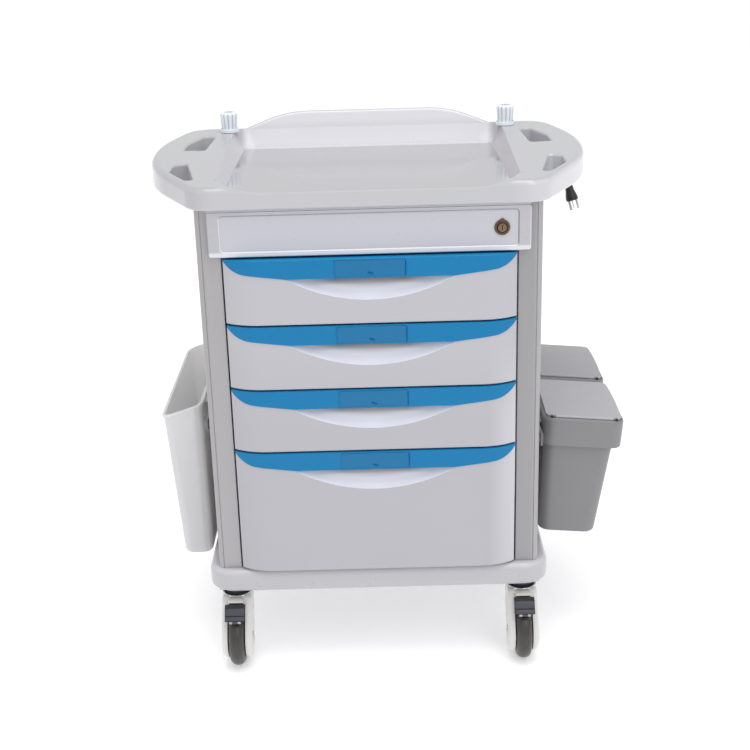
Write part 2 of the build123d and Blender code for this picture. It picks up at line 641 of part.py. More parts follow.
def make_lock_bar():
    """Strip lying against the column, with a slotted plate for the cam and a tab per drawer."""
    pin_x, pin_z = cam_pin_point()
    y0 = lock_bar_y()
    y1 = y0 + LOCK_BAR_THICKNESS
    x1 = COLUMN_INNER_X - 0.4
    x0 = x1 - LOCK_STRIP_THICKNESS
    tab_rise = 5 + CAM_TRAVEL
    lowest = catch_z(drawer_spans()[-1]) + tab_rise
    bar = block(x0, x1, y0 - 2, y0 - 2 + LOCK_BAR_WIDTH, lowest, pin_z + 9)
    bar += block(pin_x - 6, x1, y0, y1, pin_z - 9, pin_z + 9)
    slot_end = LOCK_X + LOCK_CAM_RADIUS + LOCK_PIN_RADIUS + LOCK_SLOT_CLEARANCE
    slot_half = LOCK_PIN_RADIUS + LOCK_SLOT_CLEARANCE
    bar -= block(pin_x - slot_half - 0.2, slot_end, y0, y1, pin_z - slot_half, pin_z + slot_half)
    for span in drawer_spans():
        tab_z = catch_z(span) + tab_rise
        bar += block(BOX_HALF_WIDTH + 0.5, x1, y0, y1, tab_z, tab_z + LOCK_TAB_HEIGHT)
    return bar


# ------------------------------------------------------------------ drawers
def bowed_plan(proud, back_y):
    """Plan of a drawer front: flat in the middle and curving back at both ends."""
    w = DRAWER_HALF_WIDTH
    end_y, middle_y = FRONT_END_Y - proud, FRONT_MIDDLE_Y - proud
    knee_x = (w + FRONT_FLAT_HALF) / 2 + 5
    knee_y = middle_y + (end_y - middle_y) * 0.30
    edges = Line((-w, back_y), (w, back_y)) + Line((w, back_y), (w, end_y))
    edges += ThreePointArc((w, end_y), (knee_x, knee_y), (FRONT_FLAT_HALF, middle_y))
    edges += Line((FRONT_FLAT_HALF, middle_y), (-FRONT_FLAT_HALF, middle_y))
    edges += ThreePointArc((-FRONT_FLAT_HALF, middle_y), (-knee_x, knee_y), (-w, end_y))
    edges += Line((-w, end_y), (-w, back_y))
    return make_face(edges)


def band_outline(top):
    """X-Z outline of the blue pull band: straight below, rounded up to both tips."""
    w = DRAWER_HALF_WIDTH
    shoulder = (w - BAND_SHOULDER_INSET, top - BAND_SHOULDER_DEPTH)
    step = (SMILE_HALF_WIDTH, top - BAND_HEIGHT)
    tip = (w, top - 2)
    bulge = (w - 11, top - 13.5)
    edges = Line((-w, top), (w, top)) + Line((w, top), tip)
    edges += ThreePointArc(tip, bulge, shoulder)
    edges += Line(shoulder, step) + Line(step, (-step[0], step[1]))
    edges += Line((-step[0], step[1]), (-shoulder[0], shoulder[1]))
    edges += ThreePointArc((-shoulder[0], shoulder[1]), (-bulge[0], bulge[1]), (-w, tip[1]))
    edges += Line((-w, tip[1]), (-w, top))
    return make_face(edges)


def finger_pocket(top):
    """The space behind the pull band that fingers hook up into."""
    half = PULL_HALF_WIDTH
    return block(-half, half, FRONT_MIDDLE_Y - BAND_PROUD + PULL_WALL,
                 FRONT_MIDDLE_Y + SCOOP_DEPTH, top - BAND_HEIGHT - 0.5, top - PULL_TOP_WALL)


def scoop(top):
    """The hollow under the band: a concave ring whose edge on the front is the smile line."""
    axis_z = top - SMILE_DEPTH + SMILE_RADIUS
    r1, y1 = SMILE_RADIUS, FRONT_MIDDLE_Y
    r2, y2 = SMILE_RADIUS - 29, FRONT_MIDDLE_Y + SCOOP_DEPTH
    r0 = SMILE_RADIUS - SMILE_DEPTH
    edges = Line((y1 - 5, axis_z - r0), (y1 - 5, axis_z - r1))
    edges += Line((y1 - 5, axis_z - r1), (y1, axis_z - r1))
    edges += ThreePointArc((y1, axis_z - r1), (y1 + 11.5, axis_z - r1 + 10), (y2, axis_z - r2))
    edges += Line((y2, axis_z - r2), (y2, axis_z - r0)) + Line((y2, axis_z - r0), (y1 - 5, axis_z - r0))
    profile = Plane.YZ * make_face(edges)
    ring = revolve(profile, Axis((0, 0, axis_z), (0, 1, 0)), 360)
    half = SMILE_HALF_WIDTH + 8
    keep = block(-half, half, y1 - 6, y2 + 1,
                 top - SMILE_DEPTH - 5, top - BAND_HEIGHT)
    return ring & keep


def lock_catch(span):
    """Hook behind the front's right end, which the lowered lock bar holds."""
    z = catch_z(span)
    x0, x1 = BOX_HALF_WIDTH + 0.5, BOX_HALF_WIDTH + 4
    bar_rear = lock_bar_y() + LOCK_BAR_THICKNESS
    arm = block(x0, x1, FRONT_BACK_Y - 1, bar_rear + 4.5, z - 4, z + 4)
    nose = block(x0, x1, bar_rear + 1.5, bar_rear + 4.5, z, z + 12)
    return arm + nose


def make_front(span):
    bottom, top = span
    front = extrude(Pos(0, 0, bottom) * bowed_plan(0, FRONT_BACK_Y), top - bottom)
    lower = front.edges().group_by(Axis.Z)[0].filter_by(lambda e: e.center().Y < FRONT_END_Y + 2)
    front = fillet(lower, FRONT_EDGE_RADIUS)
    front -= prism_y(band_outline(top), FRONT_MIDDLE_Y - 5, BAND_BACK_Y)
    front -= scoop(top)
    front -= finger_pocket(top)
    # Back of the moulding, hollowed in two steps.
    half = DRAWER_HALF_WIDTH - 30
    skin_y = FRONT_MIDDLE_Y + SCOOP_DEPTH + 3
    front -= block(-half, half, skin_y, FRONT_BACK_Y, bottom + 5, top - BAND_HEIGHT - 3)
    flat = FRONT_FLAT_HALF
    front -= block(-flat, flat, FRONT_MIDDLE_Y + 4, FRONT_BACK_Y, bottom + 5, top - SMILE_DEPTH - 4)
    return front + lock_catch(span)


def make_band(span):
    top = span[1]
    plan = extrude(Pos(0, 0, top - BAND_HEIGHT - 1) * bowed_plan(BAND_PROUD, BAND_BACK_Y),
                   BAND_HEIGHT + 1)
    band = plan & prism_y(band_outline(top), FRONT_MIDDLE_Y - 5, BAND_BACK_Y)
    band -= finger_pocket(top)
    face_y = FRONT_MIDDLE_Y - BAND_PROUD
    half = LABEL_HALF_WIDTH
    band -= block(-half, half, face_y - 1, face_y + LABEL_SEAT, top - BAND_HEIGHT - 1, top - 1.5)
    return band


def make_label_cover(span):
    top = span[1]
    face_y = FRONT_MIDDLE_Y - BAND_PROUD + LABEL_SEAT
    half = LABEL_HALF_WIDTH - 0.3
    cover = block(-half, half, face_y - LABEL_THICKNESS, face_y, top - BAND_HEIGHT, top - 1.8)
    cover = fillet(cover.edges().filter_by(Axis.Z), 0.6)
    return cover - along_y(LABEL_NOTCH_RADIUS, 10, 0, face_y, top - BAND_HEIGHT - 2)


def runner_level(span):
    return span[1] - RAIL_BELOW_FRONT


def make_drawer_box(span):
    bottom, top = span
    z0, z1 = bottom + BOX_FLOOR_ABOVE_FRONT, top - BOX_RIM_BELOW_FRONT
    tub = rounded_block(-BOX_HALF_WIDTH, BOX_HALF_WIDTH, FRONT_BACK_Y, BOX_REAR_Y, z0, z1,
                        BOX_CORNER_RADIUS)
    tub -= rounded_block(-BOX_HALF_WIDTH + BOX_WALL, BOX_HALF_WIDTH - BOX_WALL,
                         FRONT_BACK_Y + BOX_WALL, BOX_REAR_Y - BOX_WALL, z0 + BOX_WALL, z1 + 1,
                         BOX_CORNER_RADIUS - BOX_WALL)
    z = runner_level(span)
    outer = COLUMN_INNER_X - RAIL_WALL - RAIL_CLEARANCE
    for side in (-1, 1):
        tub += block(side * (BOX_HALF_WIDTH - 1), side * outer, -RAIL_END_Y + 2, BOX_REAR_Y - 12,
                     z - RUNNER_THICKNESS / 2, z + RUNNER_THICKNESS / 2)
    return tub


def make_drawer_rails():
    """The four channels on the cabinet's right side, screwed to both columns."""
    x1 = COLUMN_INNER_X
    x0 = x1 - RAIL_DEPTH
    rails = []
    for span in drawer_spans():
        z = runner_level(span)
        gap = RUNNER_THICKNESS / 2 + RAIL_CLEARANCE
        rail = block(x0, x1, -RAIL_END_Y, RAIL_END_Y, z - gap - RAIL_WALL, z + gap + RAIL_WALL)
        rail -= block(x0 - 1, x1 - RAIL_WALL, -RAIL_END_Y, RAIL_END_Y, z - gap, z + gap)
        rails.append(rail)
    return Compound(rails)


# ------------------------------------------------------------------ pole sockets and clamps
def make_pole_sockets():
    bore = POLE_RADIUS + POLE_CLEARANCE
    outer = bore + SOCKET_WALL
    seat = deck_z(POLE_Y)
    bottom = seat - SOCKET_DEPTH
    sockets = []
    for side in (-1, 1):
        x = side * POLE_X
        tube = upright(outer, bottom, seat + SOCKET_FLANGE_HEIGHT + SOCKET_NECK_HEIGHT, x, POLE_Y)
        tube += upright(SOCKET_FLANGE_RADIUS, seat + 0.9, seat + SOCKET_FLANGE_HEIGHT, x, POLE_Y)
        tube -= upright(bore, bottom - 1, seat + 60, x, POLE_Y)
        sockets.append(tube)
    return Compound(sockets)


def make_pole_clamp(side):
    """Ribbed hand nut that grips a pole in its socket."""
    foot = deck_z(POLE_Y) + SOCKET_FLANGE_HEIGHT + 0.3
    top = foot + CLAMP_HEIGHT
    neck = POLE_RADIUS + POLE_CLEARANCE + SOCKET_WALL + RUNNING_CLEARANCE
    bore = POLE_RADIUS + 2 * POLE_CLEARANCE
    edges = Line((0, foot), (CLAMP_FOOT_RADIUS + 0.8, foot))
    edges += Line((CLAMP_FOOT_RADIUS + 0.8, foot), (CLAMP_FOOT_RADIUS, foot + 3))
    edges += ThreePointArc((CLAMP_FOOT_RADIUS, foot + 3),
                           (CLAMP_TOP_RADIUS - 0.7, foot + CLAMP_HEIGHT * 0.45),
                           (CLAMP_TOP_RADIUS, top - 5))
    edges += ThreePointArc((CLAMP_TOP_RADIUS, top - 5), (CLAMP_TOP_RADIUS - 1.6, top - 1.4),
                           (CLAMP_TOP_RADIUS - 5, top))
    edges += Line((CLAMP_TOP_RADIUS - 5, top), (0, top)) + Line((0, top), (0, foot))
    nut = revolve(Plane.XZ * make_face(edges), Axis.Z, 360)
    lean = math.degrees(math.atan2(CLAMP_TOP_RADIUS - CLAMP_FOOT_RADIUS, CLAMP_HEIGHT))
    for i in range(CLAMP_GROOVES):
        groove = Pos(CLAMP_FOOT_RADIUS + 1.5, 0, foot + 5) * Rot(0, lean, 0) * Pos(
            0, 0, CLAMP_HEIGHT / 2) * Cylinder(CLAMP_GROOVE_RADIUS, CLAMP_HEIGHT)
        nut -= Rot(0, 0, i * 360 / CLAMP_GROOVES) * groove
    nut -= upright(neck, foot - 1, foot + SOCKET_NECK_HEIGHT + 0.5, 0, 0)
    nut -= upright(bore, foot, top + 1, 0, 0)
    return Pos(side * POLE_X, POLE_Y, 0) * nut


# ------------------------------------------------------------------ casters
def make_caster_mounts():
    """Top plate, swivel ring and kingpin of each caster, screwed under the base pads."""
    mounts = []
    for x in (-CASTER_X, CASTER_X):
        for y in (-CASTER_Y, CASTER_Y):
            z1 = CASTER_HEIGHT
            z0 = z1 - CASTER_PLATE_THICKNESS
            half = CASTER_PLATE_SIDE / 2
            plate = rounded_block(x - half, x + half, y - half, y + half, z0, z1, 8)
            ring = upright(CASTER_RING_RADIUS, z0 - CASTER_RING_HEIGHT, z0, x, y)
            ring -= upright(CASTER_RING_RADIUS - CASTER_RING_WALL, z0 - CASTER_RING_HEIGHT, z0 - 1, x, y)
            pin = upright(KINGPIN_RADIUS, FORK_TOP_Z - KINGPIN_DEPTH, z0, x, y)
            mounts.append(plate + ring + pin)
    return Compound(mounts)


def make_caster_fork(x, y, braked):
    """Hooded fork: rounded skirts over both sides of the wheel, head under the swivel ring."""
    axle_y = -CASTER_TRAIL
    head_y = -5.0
    head_z = FORK_TOP_Z - FORK_HEAD_HEIGHT / 2
    skirt = Pos(axle_y, AXLE_Z) * Circle(FORK_SKIRT_RADIUS)
    head = Pos(head_y, head_z) * RectangleRounded(FORK_HEAD_LENGTH, FORK_HEAD_HEIGHT, 12)
    side = make_hull((skirt + head).edges())
    fork = prism_x(side, -FORK_WIDTH / 2, FORK_WIDTH / 2)
    outer = fork.edges().filter_by(lambda e: abs(abs(e.center().X) - FORK_WIDTH / 2) < 0.1)
    fork = fillet(outer, FORK_EDGE_RADIUS)
    fork -= across_x(WHEEL_RADIUS + WHEEL_GAP, FORK_SLOT, 0, axle_y, AXLE_Z)
    fork += across_x(AXLE_RADIUS, FORK_WIDTH - 2, 0, axle_y, AXLE_Z)
    fork -= upright(KINGPIN_RADIUS + RUNNING_CLEARANCE, FORK_TOP_Z - KINGPIN_DEPTH - 1,
                    FORK_TOP_Z + 1, 0, 0)
    if braked:
        half = PEDAL_ARM_WIDTH / 2 + 0.6
        reach = PEDAL_HUB_RADIUS + 1.2
        y0, z0 = -PEDAL_PIVOT_FORWARD, PEDAL_PIVOT_HEIGHT
        fork -= block(-half, half, y0 - 40, y0, z0 - 16, z0 + reach + 2)
        fork -= across_x(reach, 2 * half, 0, y0, z0)
        fork += across_x(PEDAL_PIN_RADIUS, 2 * half + 4, 0, y0, z0)
    return Pos(x, y, 0) * fork


def make_wheel(x, y):
    """Wheel with a rounded tread, a dished disc and a wider hub."""
    half, hub = WHEEL_WIDTH / 2, WHEEL_HUB_WIDTH / 2
    r = WHEEL_RADIUS
    disc = 7.0
    bore = AXLE_RADIUS + RUNNING_CLEARANCE
    right = [(bore, hub), (WHEEL_HUB_RADIUS - 6, hub), (WHEEL_HUB_RADIUS, disc),
             (r - 16, disc), (r - 12, half), (r - WHEEL_TREAD_ROUND, half)]
    left = [(a, -b) for a, b in reversed(right)]
    edges = Polyline(*right) + ThreePointArc(right[-1], (r, 0), left[0]) + Polyline(*left)
    edges += Line(left[-1], right[0])
    profile = make_face(edges)
    # Drawn as radius and width, then turned so that the width lies along X.
    wheel = revolve(profile, Axis.Y, 360)
    return Pos(x, y - CASTER_TRAIL, AXLE_Z) * Rot(0, 0, 90) * wheel


def make_pedal(x, y):
    """Brake pedal: a creased tread plate on an arm that turns on a cross pin."""
    y0, z0 = -PEDAL_PIVOT_FORWARD, PEDAL_PIVOT_HEIGHT
    t = PEDAL_THICKNESS
    front = [(y0 - 24, z0 + 12), (y0 - 31, z0 + 10), (y0 - 39, z0 - 3), (y0 - 44, z0 - 10)]
    back = [(a + t, b - 2) for a, b in reversed(front)]
    plate = prism_x(make_face(Polyline(*front, *back, close=True)), -PEDAL_WIDTH / 2, PEDAL_WIDTH / 2)
    arm_face = make_face(Polyline(
        (y0, z0 + 5), (y0 - 24, z0 + 10), (y0 - 34, z0 + 2), (y0 - 20, z0 - 3), (y0, z0 - 5),
        close=True))
    half = PEDAL_ARM_WIDTH / 2
    pedal = plate + prism_x(arm_face, -half, half)
    pedal += across_x(PEDAL_HUB_RADIUS, 2 * half, 0, y0, z0)
    pedal -= across_x(PEDAL_PIN_RADIUS + RUNNING_CLEARANCE, 4 * half, 0, y0, z0)
    return Pos(x, y, 0) * pedal


# ------------------------------------------------------------------ bins
def make_bin_rails():
    rails = []
    for side, top in ((-1, LEFT_RAIL_TOP_Z), (1, RIGHT_RAIL_TOP_Z)):
        x0 = HALF_WIDTH + BIN_RAIL_STANDOFF
        x1 = x0 + BIN_RAIL_THICKNESS
        end = HALF_DEPTH - BIN_RAIL_END_GAP
        rail = block(side * x0, side * x1, -end, end, top - BIN_RAIL_HEIGHT, top)
        for y in (-POLE_Y, POLE_Y):
            post = across_x(6, BIN_RAIL_STANDOFF, side * (HALF_WIDTH + x0) / 2, y,
                            top - BIN_RAIL_HEIGHT / 2)
            rail += post
        rails.append(rail)
    return Compound(rails)


def rail_hook(rail_top, bin_x, y):
    """Hook from a bin's inner wall at bin_x over its rail, on the cart's right side."""
    rail_x0 = HALF_WIDTH + BIN_RAIL_STANDOFF
    tongue_x1 = rail_x0 - HOOK_CLEARANCE
    tongue_x0 = tongue_x1 - HOOK_THICKNESS + 0.4
    z0 = rail_top + HOOK_CLEARANCE
    half = HOOK_WIDTH / 2
    bridge = block(tongue_x0, bin_x, y - half, y + half, z0, z0 + HOOK_THICKNESS + 1)
    tongue = block(tongue_x0, tongue_x1, y - half, y + half, rail_top - 13, z0 + 1)
    return bridge + tongue


def make_left_bin():
    """Open bin whose rim slopes down and outwards. Drawn on the right and mirrored."""
    z0 = LEFT_BIN_BOTTOM_Z
    high = LEFT_BIN_RIM_Z + LEFT_BIN_HEADROOM
    front_y, rear_y = -HALF_DEPTH + LEFT_BIN_FRONT_GAP, HALF_DEPTH - LEFT_BIN_REAR_GAP
    bottom_x = LEFT_BIN_INNER_X + LEFT_BIN_BOTTOM_DEPTH
    rise = (high - z0) / (LEFT_BIN_RIM_Z - z0)
    slope = math.tan(math.radians(LEFT_BIN_RIM_SLOPE))

    def body(grow, floor):
        """Tapered block: the wall's outside when grow is 0, its inside when negative."""
        def level(z, share):
            x0 = LEFT_BIN_INNER_X - grow
            x1 = bottom_x + (LEFT_BIN_RIM_X - bottom_x) * share + grow
            y0 = front_y + LEFT_BIN_TAPER * (1 - share) - grow
            y1 = rear_y - LEFT_BIN_TAPER * (1 - share) + grow
            corner = LEFT_BIN_CORNER + grow
            flat = RectangleRounded(x1 - x0, y1 - y0, corner)
            return (Pos((x0 + x1) / 2, (y0 + y1) / 2, z) * flat).face()
        return loft([level(floor, (floor - z0) / (LEFT_BIN_RIM_Z - z0)), level(high, rise)])

    def under_rim(shape, lift):
        origin = (LEFT_BIN_RIM_X, 0, LEFT_BIN_RIM_Z + lift)
        plane = Plane(origin=origin, x_dir=(0, 1, 0), z_dir=Vector(slope, 0, 1))
        return split(shape, plane, keep=Keep.BOTTOM)

    outside = under_rim(body(0, z0), 0)
    outside = fillet(outside.edges().group_by(Axis.Z)[0], 9)
    rim = under_rim(body(LEFT_BIN_RIM_WIDTH, z0), 0) - under_rim(
        body(LEFT_BIN_RIM_WIDTH + 1, z0 - 10), -LEFT_BIN_RIM_THICKNESS)
    shell = outside + rim - body(-BIN_WALL, z0 + BIN_WALL)
    for y in (front_y + LEFT_BIN_HOOK_INSET, rear_y - LEFT_BIN_HOOK_INSET):
        shell += rail_hook(LEFT_RAIL_TOP_Z, LEFT_BIN_INNER_X + 1, y)
    return mirrored(shell)


def waste_place(y):
    """Frame of a lidded bin: inner top edge of its collar, tilted down and outwards."""
    return Pos(WASTE_INNER_X, y, WASTE_TOP_Z) * Rot(0, WASTE_TILT, 0)


def make_waste_collar(y):
    """Deep rim that the box hangs in and the lid turns on."""
    w, half = WASTE_COLLAR_DEPTH, WASTE_COLLAR_LENGTH / 2
    ring = rounded_block(0, w, -half, half, -WASTE_COLLAR_HEIGHT, 0, WASTE_CORNER_RADIUS)
    ring = fillet(ring.edges().group_by(Axis.Z)[-1], WASTE_COLLAR_ROUND)
    wall = BIN_WALL + 0.5
    ring -= rounded_block(wall, w - wall, -half + wall, half - wall, -WASTE_COLLAR_HEIGHT - 1,
                          -8, WASTE_CORNER_RADIUS - wall)
    mouth = 13.0
    ring -= rounded_block(mouth, w - mouth, -half + mouth, half - mouth, -20, 1, 14)
    # Seat for the lid, and two ears that carry its hinge pin stubs.
    hinge_y = -half + WASTE_HINGE_INSET
    seat = WASTE_LID_THICKNESS
    ring -= rounded_block(5, w - 5, hinge_y - 4.5, half - 5, -seat, 1, 14)
    pin_z = -seat + WASTE_HINGE_RADIUS + 0.6
    for x in (15.0, w - 15.0):
        ear = block(x - 1.5, x + 1.5, hinge_y - 3, hinge_y + 3, -seat - 1, pin_z + 2)
        sign = 1 if x < w / 2 else -1
        stub = across_x(WASTE_PIN_RADIUS, 5, x + sign * 3.5, hinge_y, pin_z)
        ring += ear + stub
    collar = waste_place(y) * ring
    for offset_y in (-WASTE_HOOK_OFFSET, WASTE_HOOK_OFFSET):
        collar += rail_hook(RIGHT_RAIL_TOP_Z, WASTE_INNER_X + 1.2, y + offset_y)
    return collar


def make_waste_box(y):
    """Tapered tub held in the collar."""
    half = WASTE_COLLAR_LENGTH / 2
    rim = BIN_WALL + 0.5 + 0.3

    def level(z, share, grow):
        x0 = rim + grow + WASTE_TAPER * share * 0.8
        x1 = WASTE_COLLAR_DEPTH - rim - WASTE_OVERHANG + grow * -1 - WASTE_TAPER * share
        half_y = half - rim - WASTE_OVERHANG + 3 - grow - 10 * share
        flat = RectangleRounded(x1 - x0, 2 * half_y, WASTE_CORNER_RADIUS - rim - grow)
        return (Pos((x0 + x1) / 2, 0, z) * flat).face()

    tub = loft([level(-WASTE_HEIGHT, 1, 0), level(-12, 0, 0)])
    tub = fillet(tub.edges().group_by(Axis.Z)[0], 8)
    share = BIN_WALL / WASTE_HEIGHT
    tub -= loft([level(-WASTE_HEIGHT + BIN_WALL, 1 - share, BIN_WALL), level(-11, 0, BIN_WALL)])
    lip = rounded_block(rim, WASTE_COLLAR_DEPTH - rim, -half + rim, half - rim, -12, -9,
                        WASTE_CORNER_RADIUS - rim)
    lip -= rounded_block(rim + BIN_WALL + 3, WASTE_COLLAR_DEPTH - rim - BIN_WALL - WASTE_OVERHANG,
                         -half + rim + BIN_WALL + 5, half - rim - BIN_WALL - 5, -13, -8, 14)
    return waste_place(y) * (tub + lip)


def make_waste_lid(y):
    """Crowned flap hinged along its front edge, with notches round the hinge ears."""
    w, half = WASTE_COLLAR_DEPTH, WASTE_COLLAR_LENGTH / 2
    hinge_y = -half + WASTE_HINGE_INSET
    seat = WASTE_LID_THICKNESS
    rear_y = half - 5.4
    front_y = hinge_y
    pin_z = -seat + WASTE_HINGE_RADIUS + 0.6
    plate = rounded_block(5.4, w - 5.4, front_y, rear_y, -seat + 0.3, 14, 13)
    span = rear_y - front_y
    crown = 0.25 * span * span / (2 * WASTE_LID_CROWN)
    dome_face = Pos((front_y + rear_y) / 2, WASTE_LID_CROWN - crown + 1) * Circle(crown)
    plate &= prism_x(dome_face, 0, w)
    for x in (15.0, w - 15.0):
        plate -= block(x - 2.3, x + 2.3, front_y - 1, hinge_y + 4.2, -seat - 1, 15)
    knuckle = across_x(WASTE_HINGE_RADIUS, w - 42, w / 2, hinge_y, pin_z)
    plate += knuckle
    for x in (15.0, w - 15.0):
        sign = 1 if x < w / 2 else -1
        plate -= across_x(WASTE_PIN_RADIUS + RUNNING_CLEARANCE, 9, x + sign * 4.2, hinge_y, pin_z)
    return waste_place(y) * plate


# ------------------------------------------------------------------ power strip, hooks, cord, plug
def make_power_strip():
    x0, x1 = STRIP_X - STRIP_LENGTH / 2, STRIP_X + STRIP_LENGTH / 2
    y1 = BACK_FACE_Y + STRIP_DEPTH
    middle = Pos(STRIP_X, STRIP_Z)
    strip = prism_y(middle * RectangleRounded(STRIP_LENGTH, STRIP_HEIGHT, 7), BACK_FACE_Y, y1)
    strip = fillet(strip.edges().group_by(Axis.Y)[-1], 3)
    for i in range(SOCKET_OUTLETS):
        x = STRIP_X + (i - (SOCKET_OUTLETS - 1) / 2) * SOCKET_PITCH
        strip -= along_y(OUTLET_RADIUS, 2 * OUTLET_DEPTH, x, y1, STRIP_Z)
        for turn, dx, dz in ((0, 0, -8), (30, -7, 6), (-30, 7, 6)):
            slot = Pos(x + dx, y1 - OUTLET_DEPTH, STRIP_Z + dz) * Rot(0, turn, 0) * Box(2, 16, 7)
            strip -= slot
    # Tapered strain relief where the cord leaves the right end.
    relief_y, relief_z = cord_exit()[1:]
    relief = Cone(6.0, CORD_RADIUS + 1.2, RELIEF_LENGTH)
    strip += Pos(x1 + RELIEF_LENGTH / 2, relief_y, relief_z) * Rot(0, 90, 0) * relief
    return strip


def cord_exit():
    """Point where the cord leaves the strain relief, heading to the right."""
    x = STRIP_X + STRIP_LENGTH / 2 + RELIEF_LENGTH
    return (x, wrap_y(0), STRIP_Z)


def wrap_y(turn):
    """Depth of the cord's line after so many turns: it works inwards from the outside."""
    return BACK_FACE_Y + 4 + CORD_RADIUS + (CORD_LOOPS - turn) * CORD_PITCH


def make_cord_hooks():
    """Two round pegs for the cord and the clip that holds its end under the worktop."""
    depth = (CORD_LOOPS + 1) * CORD_PITCH + 8
    pegs = []
    for z, lip in ((PEG_TOP_Z, 1), (PEG_BOTTOM_Z, -1)):
        y1 = BACK_FACE_Y + depth
        peg = along_y(PEG_RADIUS, depth, PEG_X, BACK_FACE_Y + depth / 2, z)
        peg -= along_y(PEG_BORE_RADIUS, depth, PEG_X, BACK_FACE_Y + depth / 2 + 3, z)
        tongue = block(PEG_X - 9, PEG_X + 9, y1 - 3, y1, z + lip * (PEG_RADIUS - 3),
                       z + lip * (PEG_RADIUS + 9))
        pegs.append(peg + tongue)
    return Compound(pegs + [make_cord_clip()])


def make_cord_clip():
    """Clip under the worktop's right rear corner, in line with the cord that it holds."""
    bore = CORD_RADIUS + CLIP_SLACK
    ring = across_x(bore + CLIP_WALL, CLIP_WIDTH, 0, 0, CLIP_Z)
    pad = upright(6, WORKTOP_Z - 2, WORKTOP_Z, -3, 0)
    clip = ring + pad - across_x(bore, CLIP_WIDTH + 12, 0, 0, CLIP_Z)
    return Pos(CLIP_X, CLIP_Y, 0) * Rot(0, 0, CLIP_HEADING) * clip


def winding_points():
    """Corners of the loops round both pegs, from the top of the upper peg and back to it."""
    reach = WRAP_RADIUS
    top, bottom = PEG_TOP_Z + reach, PEG_BOTTOM_Z - reach
    corners = ((reach, top, 0.12), (reach, bottom, 0.38), (-reach, bottom, 0.62), (-reach, top, 0.88))
    points = [(PEG_X, wrap_y(0), top)]
    for turn in range(CORD_LOOPS):
        for dx, z, share in corners:
            points.append((PEG_X + dx, wrap_y(turn + share), z))
    points.append((PEG_X, wrap_y(CORD_LOOPS), top))
    return points


def wrap_heading():
    """Direction of the cord where it passes over the top of the upper peg."""
    first, second = winding_points()[:2]
    return (Vector(second) - Vector(first)).normalized()


def lead_points():
    """From the strain relief straight on to the top of the upper peg."""
    start = Vector(winding_points()[0])
    exit_x, exit_y, exit_z = cord_exit()
    return [(exit_x, exit_y, exit_z), (exit_x + 9, exit_y, exit_z),
            tuple(start - wrap_heading() * 14), tuple(start)]


def clip_direction():
    turn = math.radians(CLIP_HEADING)
    return Vector(math.cos(turn), math.sin(turn), 0)


def plug_frame():
    """Point where the cord enters the plug, and the direction the plug hangs in."""
    lean = math.radians(PLUG_TILT)
    down = clip_direction() * math.sin(lean) + Vector(0, 0, -math.cos(lean))
    entry = Vector(HALF_WIDTH + PLUG_OUTSIDE, HALF_DEPTH - PLUG_INSIDE, WORKTOP_Z - PLUG_DROP)
    return entry, down


def tail_points():
    """From the upper peg, out past the rear column, up and through the clip to the plug."""
    end = Vector(winding_points()[-1])
    entry, down = plug_frame()
    clip = Vector(CLIP_X, CLIP_Y, CLIP_Z)
    corner = Vector(HALF_WIDTH, HALF_DEPTH, WORKTOP_Z)
    past_column = [(-26, 11, -84), (10, 13, -57), (31, -9, -29)]
    rising = [tuple(corner + Vector(*offset)) for offset in past_column]
    return [tuple(end), tuple(end + wrap_heading() * 26), *rising, tuple(clip - clip_direction() * CLIP_RUN),
            tuple(clip + clip_direction() * CLIP_RUN), tuple(entry - down * PLUG_LEAD), tuple(entry)]


def corner_radii(points):
    """Largest easy radius at each inner point, from its two runs and its turn."""
    radii = []
    for a, b, c in zip(points, points[1:], points[2:]):
        first, second = Vector(b) - Vector(a), Vector(c) - Vector(b)
        turn = math.radians(first.get_angle(second))
        run = min(first.length, second.length)
        radii.append(0.45 * run / math.tan(turn / 2))
    return radii


def cord_tube(name, points, radii):
    path = FilletPolyline(*points, radius=radii)
    if name == "cord_winding":
        print_least_gap(path)
    start = Plane(origin=path @ 0, z_dir=path % 0)
    tube = sweep(start * Circle(CORD_RADIUS), path=path)
    expected = math.pi * CORD_RADIUS ** 2 * path.length
    print(f"{name}: length {path.length:.0f}, least radius {min(radii):.1f}, "
          f"volume ratio {tube.volume / expected:.4f}")
    return tube


def print_least_gap(path):
    """Smallest clear space between two neighbouring turns of the winding."""
    count = 360
    marks = [path @ (i / count) for i in range(count + 1)]
    skip = int(count * 0.6 / CORD_LOOPS)
    gaps = [(a - b).length for i, a in enumerate(marks) for b in marks[i + skip:]]
    print(f"cord_winding: least gap to itself {min(gaps) - CORD_DIAMETER:.2f}")


def make_plug():
    """Flat-bladed plug: a moulded body with a grip waist and three blades."""
    entry, down = plug_frame()
    frame = Plane(origin=entry, x_dir=(0, 1, 0), z_dir=down)
    neck = Cone(CORD_RADIUS + 1.2, 8, 10, align=(Align.CENTER, Align.CENTER, Align.MIN))
    foot = Pos(0, 0, PLUG_LENGTH) * RectangleRounded(PLUG_THICKNESS + 10, PLUG_WIDTH, 8)
    waist = Pos(0, 0, 8) * RectangleRounded(PLUG_THICKNESS - 6, PLUG_WIDTH - 12, 6)
    body = neck + loft([waist.face(), foot.face()])
    for turn, dx, dy in ((0, 9, 0), (30, -5, 8), (-30, -5, -8)):
        blade = Pos(dx, dy, PLUG_LENGTH + PLUG_PIN_LENGTH / 2 - 1) * Rot(0, 0, turn) * Box(
            6.5, 1.7, PLUG_PIN_LENGTH + 2)
        body += blade
    return frame.location * body


